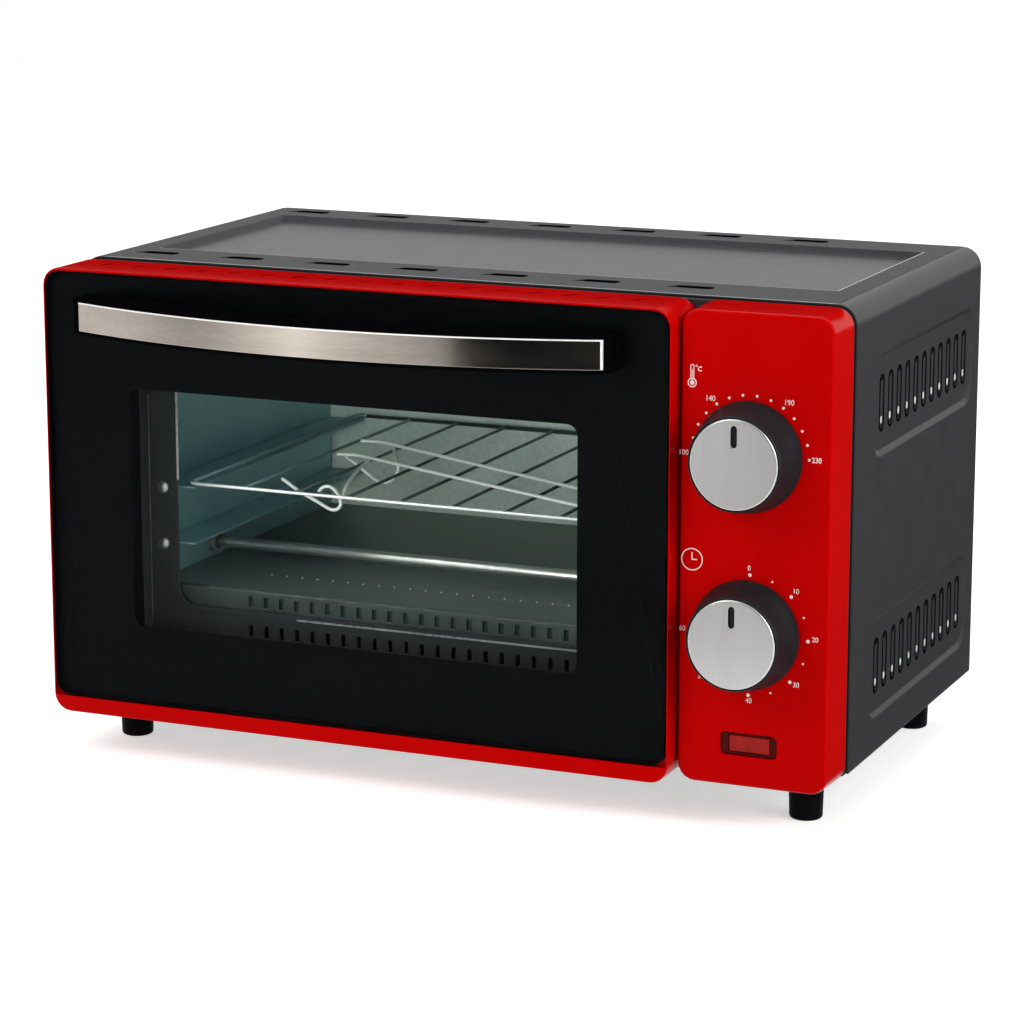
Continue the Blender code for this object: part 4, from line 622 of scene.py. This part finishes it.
# Wire rack: round steel wire, a ring bent to a rounded oblong with seven rods welded across it,
# in chrome plate. It rests in the runners. The front wire has the plate's bright colour; the rear
# wire and the rods behind it are coloured dark teal as painted shade, and the left wire and left
# rod are coloured in the wall's teal as a painted reflection.
chrome = finish("wire_chrome", (0.93, 0.94, 0.92), (0.84, 0.85, 0.83), 0.2, 900, 0.000004, metal=0.35)
shaded_chrome = finish("shaded_chrome", (0.13, 0.175, 0.17), (0.09, 0.125, 0.12), 0.5, 900, 0.000004, metal=0.85)
wall_reflection_chrome = finish("wall_reflection_chrome", (0.19, 0.33, 0.34), (0.14, 0.25, 0.26), 0.5, 900, 0.000004,
                         metal=0.5)
ring_wire, rod_wire, front_wire = 0.0012, 0.0010, 0.0008
rack_low, rack_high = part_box("wire_rack")
rack_z = (rack_low.z + rack_high.z) / 2
left, right = rack_low.x + ring_wire, rack_high.x - ring_wire
front, rear = rack_low.y + ring_wire, rack_high.y - ring_wire
corner = 0.0045


def corner_arc(x, y, start, steps=6):
    return [(x + corner * math.cos(math.radians(start + 90 * i / steps)),
             y + corner * math.sin(math.radians(start + 90 * i / steps)), rack_z) for i in range(steps + 1)]


def rack_wire(name, lines, radius, plating):
    wire(name, lines, radius, plating, "rack", "wire_rack")


front_left = corner_arc(left + corner, front + corner, 180)
front_right = corner_arc(right - corner, front + corner, 270)
rear_right = corner_arc(right - corner, rear - corner, 0)
rear_left = corner_arc(left + corner, rear - corner, 90)
rack_wire("rack_front_wire", [front_left + front_right], front_wire, chrome)
rack_wire("rack_rear_wire", [[(right, front + corner, rack_z)] + rear_right + rear_left[:1]], ring_wire,
          shaded_chrome)
rack_wire("rack_left_wire", [rear_left + [(left, front + corner, rack_z)]], ring_wire, wall_reflection_chrome)
rod_pitch = 0.0256
rods = [[(x, front, rack_z), (x, rear, rack_z)]
        for x in ((left + right) / 2 + rod_pitch * (i - 3) for i in range(7))]
rack_wire("rack_left_rods", rods[:1], rod_wire, wall_reflection_chrome)
rack_wire("rack_rods", rods[1:], rod_wire, shaded_chrome)

# Rack tongs: one long bright wire bent double for the handle, with a hook at each end that catches
# under a rod. They lie on the rack, as they were left in the oven.
tongs_wire = 0.0008
handle_z = rack_high.z + 0.0029
tongs_chrome = finish("tongs_chrome", (1.0, 1.0, 0.99), (0.97, 0.98, 0.96), 0.25, 900, 0.000002, gloss=0.9)
turn_x, turn_y, turn_radius = 0.0604, -0.0408, 0.01175
along_x, along_y = 0.907, -0.421
u_turn = []
for i in range(13):
    across, ahead = math.cos(math.pi * i / 12), math.sin(math.pi * i / 12)
    u_turn.append((turn_x + turn_radius * (-along_y * across + along_x * ahead),
                   turn_y + turn_radius * (along_x * across + along_y * ahead), handle_z))
far_tip = curved([(-0.0933, 0.0399, handle_z), (-0.0880, 0.0413, handle_z), (-0.0830, 0.0410, handle_z),
                  (-0.0760, 0.0378, handle_z)])
near_tip = curved([(-0.0720, 0.0055, handle_z), (-0.0780, 0.0082, handle_z), (-0.0838, 0.0088, handle_z),
                   (-0.0898, 0.0073, handle_z)])
hook_y = -0.042
near_hook = curved([(-0.0930, hook_y, 0.1236), (-0.0905, hook_y, 0.1222), (-0.0853, hook_y, 0.1191),
                    (-0.0747, hook_y, 0.1142), (-0.0690, hook_y, 0.1116), (-0.0655, hook_y, 0.1118),
                    (-0.0635, hook_y, 0.1146), (-0.0655, hook_y, 0.1195), (-0.0690, hook_y, 0.1219),
                    (-0.0725, hook_y, 0.1212), (-0.0746, hook_y, 0.1192)])
link = curved([(-0.0630, hook_y, 0.1172), (-0.0640, -0.0330, 0.1225), (-0.0683, -0.0132, 0.1247),
               (-0.0722, 0.0060, 0.1247)])
far_hook = curved([(-0.0870, 0.0105, 0.1247), (-0.0835, 0.0140, 0.1208), (-0.0779, 0.0140, 0.1170),
                   (-0.0710, 0.0140, 0.1130), (-0.0655, 0.0140, 0.1140), (-0.0614, 0.0140, 0.1195),
                   (-0.0645, 0.0180, 0.1240), (-0.0710, 0.0300, 0.1248), (-0.0744, 0.0370, 0.1250)])
wire("tongs_handle", [far_tip + u_turn + near_tip], tongs_wire, tongs_chrome, "tongs", "rack_tongs")
wire("tongs_hooks", [near_hook, link, far_hook], tongs_wire, tongs_chrome, "tongs", "rack_tongs")

# Hinge hardware: pressed brackets, turned pins and coiled springs of zinc plated steel. The
# brackets are riveted to the cabinet, and the pins carry the foot of the door.
bright_steel = finish("bright_steel", (0.66, 0.66, 0.65), (0.52, 0.52, 0.52), 0.26, 1600, 0.000006, metal=1.0)
for side in ("left", "right"):
    dress(f"hinge_bracket_{side}", bright_steel, 0.0002)
    dress(f"hinge_pin_{side}", bright_steel, 0.0002)
    dress(f"hinge_spring_{side}", bright_steel, 0)

# Control panel: an injection moulding in glossy red plastic, drafted at its sides and clipped to
# the front of the casing beside the door.
red_gloss = finish("red_gloss", (0.51, 0.0009, 0.0009), (0.48, 0.0007, 0.0007), 0.24, 500, 0.000004, gloss=0.12,
                   uneven=0.03, soft_edge=0.0005)
red_gloss.node_tree.nodes["Principled BSDF"].inputs["Specular Tint"].default_value = (1.0, 0.03, 0.03, 1)
dress("control_panel", red_gloss, 0.0008, 3, 20)

# Indicator lamp: a moulded red lens, ribbed on its face, in a dark bezel that snaps into the panel.
# The lamp's black body is behind it.
dark_red = finish("bezel_plastic", (0.085, 0.003, 0.002), (0.060, 0.002, 0.002), 0.3, 900, 0.00001, gloss=0.05)
lens_red = finish("lens_plastic", (0.40, 0.012, 0.008), (0.20, 0.006, 0.004), 0.18, 1500, 0.00001, gloss=0.1)
dress("lamp_bezel", dark_red, 0.0003)
dress("lamp_lens", lens_red, 0.00008, 1)
black_plastic = finish("black_plastic", (0.0080, 0.0135, 0.0155), (0.0060, 0.0105, 0.0120), 0.46, 2200,
                       0.000012, gloss=0.14)
dress("indicator_lamp", black_plastic, 0.0002)

# Thermostat and timer: cases of plated steel, nutted to the back of the panel. Their steel shafts
# come through it and take the knobs.
dress("thermostat_unit", bright_steel, 0.0003)
dress("timer_unit", bright_steel, 0.0003)
dress("thermostat_shaft", bright_steel, 0.0002)
dress("timer_shaft", bright_steel, 0.0002)

# Printed scales: pale ink, pad-printed on the panel's face and a hair proud of it. Two rings of
# dots with their numbers, a thermometer over the first knob and a clock over the second.
ink = finish("pale_ink", (0.86, 0.78, 0.75), (0.80, 0.71, 0.68), 0.5, 2600, 0.000003, gloss=0.3)
panel_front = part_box("control_panel")[0].y
knob_x = sum(corner.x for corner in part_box("thermostat_knob")) / 2
thermostat_z = sum(corner.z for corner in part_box("thermostat_knob")) / 2
timer_z = sum(corner.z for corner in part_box("timer_knob")) / 2
ink_thickness, letter_width = 0.00003, 0.92
print_mesh = bmesh.new()


def slab(outline, hole=None):
    front = panel_front - ink_thickness
    if hole is None:
        low = [print_mesh.verts.new((x, front, z)) for x, z in outline]
        high = [print_mesh.verts.new((x, panel_front, z)) for x, z in outline]
        print_mesh.faces.new(low)
        print_mesh.faces.new(high[::-1])
        for i in range(len(outline)):
            j = (i + 1) % len(outline)
            print_mesh.faces.new((low[i], high[i], high[j], low[j]))
        return
    rings = [[print_mesh.verts.new((x, y, z)) for x, z in line]
             for line, y in ((outline, front), (hole, front), (hole, panel_front), (outline, panel_front))]
    for a, b in ((0, 1), (1, 2), (2, 3), (3, 0)):
        for i in range(len(outline)):
            j = (i + 1) % len(outline)
            print_mesh.faces.new((rings[a][i], rings[b][i], rings[b][j], rings[a][j]))


def disc(x, z, radius, steps=20):
    return [(x + radius * math.cos(2 * math.pi * i / steps), z + radius * math.sin(2 * math.pi * i / steps))
            for i in range(steps)]


def words(text, x, z, height, weight=0.0):
    curve = bpy.data.curves.new("label", "FONT")
    curve.body = text
    curve.size = 1.0
    curve.offset = weight
    label = bpy.data.objects.new("label", curve)
    bpy.context.scene.collection.objects.link(label)
    bpy.context.view_layer.update()
    flat = bpy.data.meshes.new_from_object(label.evaluated_get(bpy.context.evaluated_depsgraph_get()))
    lettering = bmesh.new()
    lettering.from_mesh(flat)
    xs = [v.co.x for v in lettering.verts]
    ys = [v.co.y for v in lettering.verts]
    scale = height / (max(ys) - min(ys))
    middle = Vector(((max(xs) + min(xs)) / 2, (max(ys) + min(ys)) / 2))
    for v in lettering.verts:
        v.co = (x + (v.co.x - middle.x) * scale * letter_width, panel_front - ink_thickness,
                z + (v.co.y - middle.y) * scale)
    raised = bmesh.ops.extrude_face_region(lettering, geom=list(lettering.faces))
    for part in raised["geom"]:
        if isinstance(part, bmesh.types.BMVert):
            part.co.y = panel_front
    lettering.to_mesh(flat)
    print_mesh.from_mesh(flat)
    lettering.free()
    bpy.data.objects.remove(label)
    bpy.data.curves.remove(curve)
    bpy.data.meshes.remove(flat)


ring = 0.0256
for step in range(13):
    angle = math.radians(166.3 - 13.74 * step)
    slab(disc(knob_x + 0.0004 + ring * math.cos(angle), thermostat_z + ring * math.sin(angle), 0.00058))
for text, x, z, weight in (("100", 0.1176, 0.1613, 0.0), ("140", 0.1291, 0.1848, 0.0),
                           ("190", 0.1632, 0.1854, 0.0), ("230", 0.1752, 0.1623, 0.02)):
    words(text, x, z, 0.0023, weight)
ring = 0.0257
for step in range(13):
    angle = math.radians(90 - 22.5 * step)
    radius = 0.00045 if step % 2 else 0.00076
    slab(disc(knob_x + 0.0012 + ring * math.cos(angle), timer_z - 0.0002 + ring * math.sin(angle), radius))
for text, x, z in (("0", 0.1468, 0.1146), ("10", 0.1675, 0.1067), ("20", 0.1760, 0.0870),
                   ("30", 0.1681, 0.0669), ("40", 0.1474, 0.0580), ("50", 0.1262, 0.0663),
                   ("60", 0.1176, 0.0862)):
    words(text, x, z, 0.0022, 0.006)

clock_x, clock_z, clock_radius, stroke = 0.1216, 0.1161, 0.0048, 0.00045
slab(disc(clock_x, clock_z, clock_radius, 48), disc(clock_x, clock_z, clock_radius - stroke, 48))
slab([(clock_x - stroke / 2, clock_z - stroke / 2), (clock_x + stroke / 2, clock_z - stroke / 2),
      (clock_x + stroke / 2, clock_z + 0.0030), (clock_x - stroke / 2, clock_z + 0.0030)])
slab([(clock_x + stroke / 2, clock_z - stroke / 2), (clock_x + 0.0022, clock_z - stroke / 2),
      (clock_x + 0.0022, clock_z + stroke / 2), (clock_x + stroke / 2, clock_z + stroke / 2)])

stem_x, bulb_z, stem_top = 0.1208, 0.1907, 0.1976
stem_outside, stem_inside = 0.00085, 0.00050
slab(disc(stem_x, bulb_z, 0.0020, 32), disc(stem_x, bulb_z, 0.00155, 32))
slab(disc(stem_x, bulb_z, 0.00095, 24))
for side in (-1, 1):
    outer, inner = stem_x + side * stem_outside, stem_x + side * stem_inside
    slab([(min(outer, inner), bulb_z + 0.0018), (max(outer, inner), bulb_z + 0.0018),
          (max(outer, inner), stem_top), (min(outer, inner), stem_top)])
arch = [(stem_x + r * math.cos(math.pi * i / 10), stem_top + r * math.sin(math.pi * i / 10))
        for r, turn in ((stem_outside, range(11)), (stem_inside, range(10, -1, -1))) for i in turn]
slab(arch)
slab([(stem_x - 0.00016, bulb_z + 0.0008), (stem_x + 0.00016, bulb_z + 0.0008), (stem_x + 0.00016, 0.1962),
      (stem_x - 0.00016, 0.1962)])
slab(disc(0.12265, 0.1978, 0.00045, 16), disc(0.12265, 0.1978, 0.00022, 16))
words("C", 0.1241, 0.1966, 0.0021, 0.03)

printed = bpy.data.meshes.new("panel_print")
bmesh.ops.recalc_face_normals(print_mesh, faces=print_mesh.faces)
print_mesh.to_mesh(printed)
print_mesh.free()
printed.materials.append(ink)
panel_print = bpy.data.objects.new("panel_print", printed)
bpy.context.scene.collection.objects.link(panel_print)
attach(panel_print, "cabinet")

# Knobs: tapered black mouldings with a fine spark-eroded skin. Each carries a pressed disc of
# brushed aluminium with a diamond-cut rim, slotted to show the black pointer under it.
brushed_disc = finish("brushed_disc", (0.59, 0.58, 0.565), (0.545, 0.54, 0.53), 0.32, 200, 0.000003,
                      stretch=(9, 9, 0.22), metal=1.0, uneven=0.03)
for knob in ("thermostat", "timer"):
    dress(f"{knob}_knob", black_plastic, 0.0004, 3, 30)
    dress(f"{knob}_knob_disc", brushed_disc, 0.0005, 3, 30)

# Door frame: a moulding in the panel's red, which carries the glass in front and the liner behind.
# Its sides are drafted, and over the row of slanted vents in its top lie marks of deeper red, painted shade.
dress("door_frame", red_gloss, 0)
frame_low, frame_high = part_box("door_frame")
vent_shade_red = finish("door_vent_shade_red", (0.20, 0.0006, 0.0006), (0.12, 0.0004, 0.0004), 0.4, 900, 0.000002, gloss=0.0)
dashes = bmesh.new()
slanted = [(0.0006, 0.0022), (0.0036, 0.0022), (0.0062, 0.0068), (0.0042, 0.0068)]
vent_count, end_margin, vent_front = 17, 0.022, -0.0825
vent_pitch = (frame_high.x - frame_low.x - 2 * end_margin) / (vent_count - 1)
for i in range(vent_count):
    start = frame_low.x + end_margin + i * vent_pitch - 0.0025

    def on_door(u, v, depth):
        return (start + u, vent_front + v, frame_high.z + 0.00001 + depth)

    plate(dashes, slanted, None, on_door, print_thickness)
made("door_vent_painted_shade", dashes, vent_shade_red, "door")

# Door glass: one toughened pane over the whole front of the door, set in the frame. Its back and
# its edges are printed black around the window.
pane = bpy.data.materials.new("door_pane")
pane.use_nodes = True
tree = pane.node_tree
shader = tree.nodes["Principled BSDF"]
shader.inputs["Base Color"].default_value = (0.96, 0.99, 0.98, 1)
shader.inputs["Roughness"].default_value = 0.0
shader.inputs["IOR"].default_value = 1.055
shader.inputs["Transmission Weight"].default_value = 1.0
clear = tree.nodes.new("ShaderNodeBsdfTransparent")
clear.inputs["Color"].default_value = (0.98, 1.0, 0.99, 1)
path = tree.nodes.new("ShaderNodeLightPath")
lets_light = tree.nodes.new("ShaderNodeMath")
lets_light.operation = "MAXIMUM"
tree.links.new(path.outputs["Is Shadow Ray"], lets_light.inputs[0])
tree.links.new(path.outputs["Is Diffuse Ray"], lets_light.inputs[1])
through = tree.nodes.new("ShaderNodeMixShader")
tree.links.new(lets_light.outputs[0], through.inputs["Fac"])
tree.links.new(shader.outputs[0], through.inputs[1])
tree.links.new(clear.outputs[0], through.inputs[2])
tree.links.new(through.outputs[0], tree.nodes["Material Output"].inputs["Surface"])
dress("door_glass", pane, 0.0003)

black_print = finish("black_print", (0.0020, 0.0020, 0.0026), (0.0014, 0.0014, 0.0018), 0.4, 800, 0.000002,
                     gloss=0.02)
glass_low, glass_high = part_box("door_glass")
window = (-0.1421, 0.0720, 0.0625, 0.1700)
window_corner = 0.005


def rounded(left, right, low, high, radius, steps=8):
    line = []
    for x, z, start in ((right - radius, low + radius, 270), (right - radius, high - radius, 0),
                        (left + radius, high - radius, 90), (left + radius, low + radius, 180)):
        for i in range(steps + 1):
            angle = math.radians(start + 90 * i / steps)
            line.append((x + radius * math.cos(angle), z + radius * math.sin(angle)))
    return line


def glass_outline(inset):
    return rounded(glass_low.x + inset, glass_high.x - inset, glass_low.z + inset, glass_high.z - inset, 0.006)


border = bmesh.new()
outer = glass_outline(0.0006)
inner = rounded(*window, window_corner)
print_front = glass_high.y + 0.00003
print_back = print_front + 0.00006
rings = [[border.verts.new((x, y, z)) for x, z in line]
         for line, y in ((outer, print_front), (inner, print_front), (inner, print_back), (outer, print_back))]
for a, b in ((0, 1), (1, 2), (2, 3), (3, 0)):
    for i in range(len(outer)):
        j = (i + 1) % len(outer)
        border.faces.new((rings[a][i], rings[b][i], rings[b][j], rings[a][j]))
edge_front = -0.0957
wide, tight = glass_outline(0.00045), glass_outline(0.00065)
rings = [[border.verts.new((x, y, z)) for x, z in line]
         for line, y in ((wide, edge_front), (wide, print_front), (tight, print_front), (tight, edge_front))]
for a, b in ((0, 1), (1, 2), (2, 3), (3, 0)):
    for i in range(len(wide)):
        j = (i + 1) % len(wide)
        border.faces.new((rings[a][i], rings[a][j], rings[b][j], rings[b][i]))
bmesh.ops.recalc_face_normals(border, faces=border.faces)
border_mesh = bpy.data.meshes.new("glass_border")
border.to_mesh(border_mesh)
border.free()
border_mesh.materials.append(black_print)
glass_border = bpy.data.objects.new("glass_border", border_mesh)
bpy.context.scene.collection.objects.link(glass_border)
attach(glass_border, "door")

# Handle: a black moulded bow, screwed through the glass at its ends. It is faced with a strip of
# stainless steel, brushed along its length and let into the bow.
strip_steel = finish("brushed_strip", (0.56, 0.50, 0.44), (0.48, 0.43, 0.38), 0.15, 220, 0.000003,
                     stretch=(0.2, 9, 9), metal=1.0, uneven=0.03)
handle_plastic = finish("handle_plastic", (0.0020, 0.0020, 0.0026), (0.0014, 0.0014, 0.0019), 0.5, 2200,
                        0.00001, gloss=0.0)
dress("handle_bar", handle_plastic, 0.0006, 3, 30)
dress("handle_strip", strip_steel, 0.00025, 2, 30)

# The strip's turned edge: the same steel, folded back into the bow. A thin band along the top and
# down the right end is coloured near white, a painted highlight on the fold.
strip_low, strip_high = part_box("handle_strip")
bow_x = (strip_low.x + strip_high.x) / 2
strip_thickness = 0.00085
half_chord, bow_rise = (strip_high.x - strip_low.x) / 2, strip_high.y - strip_low.y - strip_thickness
bow_radius = (half_chord ** 2 + bow_rise ** 2) / (2 * bow_rise)
bow_end = math.asin(half_chord / bow_radius)
edge_highlight = finish("strip_edge_highlight", (0.97, 0.96, 0.94), (0.92, 0.91, 0.89), 0.25, 300, 0.000001, metal=0.15)
edge_line = bmesh.new()
sunk, proud, short_of_end = -0.0002, 0.00012, 0.0008
along = [-bow_end + short_of_end, *(bow_end * (i / 20 - 1) for i in range(1, 40)), bow_end - short_of_end]
at_end = [bow_end - 0.0036, bow_end - 0.0022, bow_end - short_of_end]
for angles, low, high in ((along, strip_high.z - 0.0007, strip_high.z - 0.0001),
                          (at_end, strip_low.z + 0.0004, strip_high.z - 0.0004)):
    rings = []
    for angle in angles:
        out_x, out_y = math.sin(angle), -math.cos(angle)
        x, y = bow_x + bow_radius * out_x, strip_low.y + bow_radius * (1 + out_y)
        rings.append([edge_line.verts.new((x + out_x * lift, y + out_y * lift, z))
                      for lift, z in ((sunk, low), (proud, low), (proud, high), (sunk, high))])
    for a, b in zip(rings, rings[1:]):
        for k in range(4):
            edge_line.faces.new((a[k], a[(k + 1) % 4], b[(k + 1) % 4], b[k]))
    edge_line.faces.new(rings[0])
    edge_line.faces.new(rings[-1][::-1])
made("handle_strip_edge", edge_line, edge_highlight, "door")

# Handle screws: countersunk steel screws, driven from behind through the glass into the bow's ends.
# The liner hides their heads.
dress("handle_screw_left", bright_steel, 0.0002)
dress("handle_screw_right", bright_steel, 0.0002)
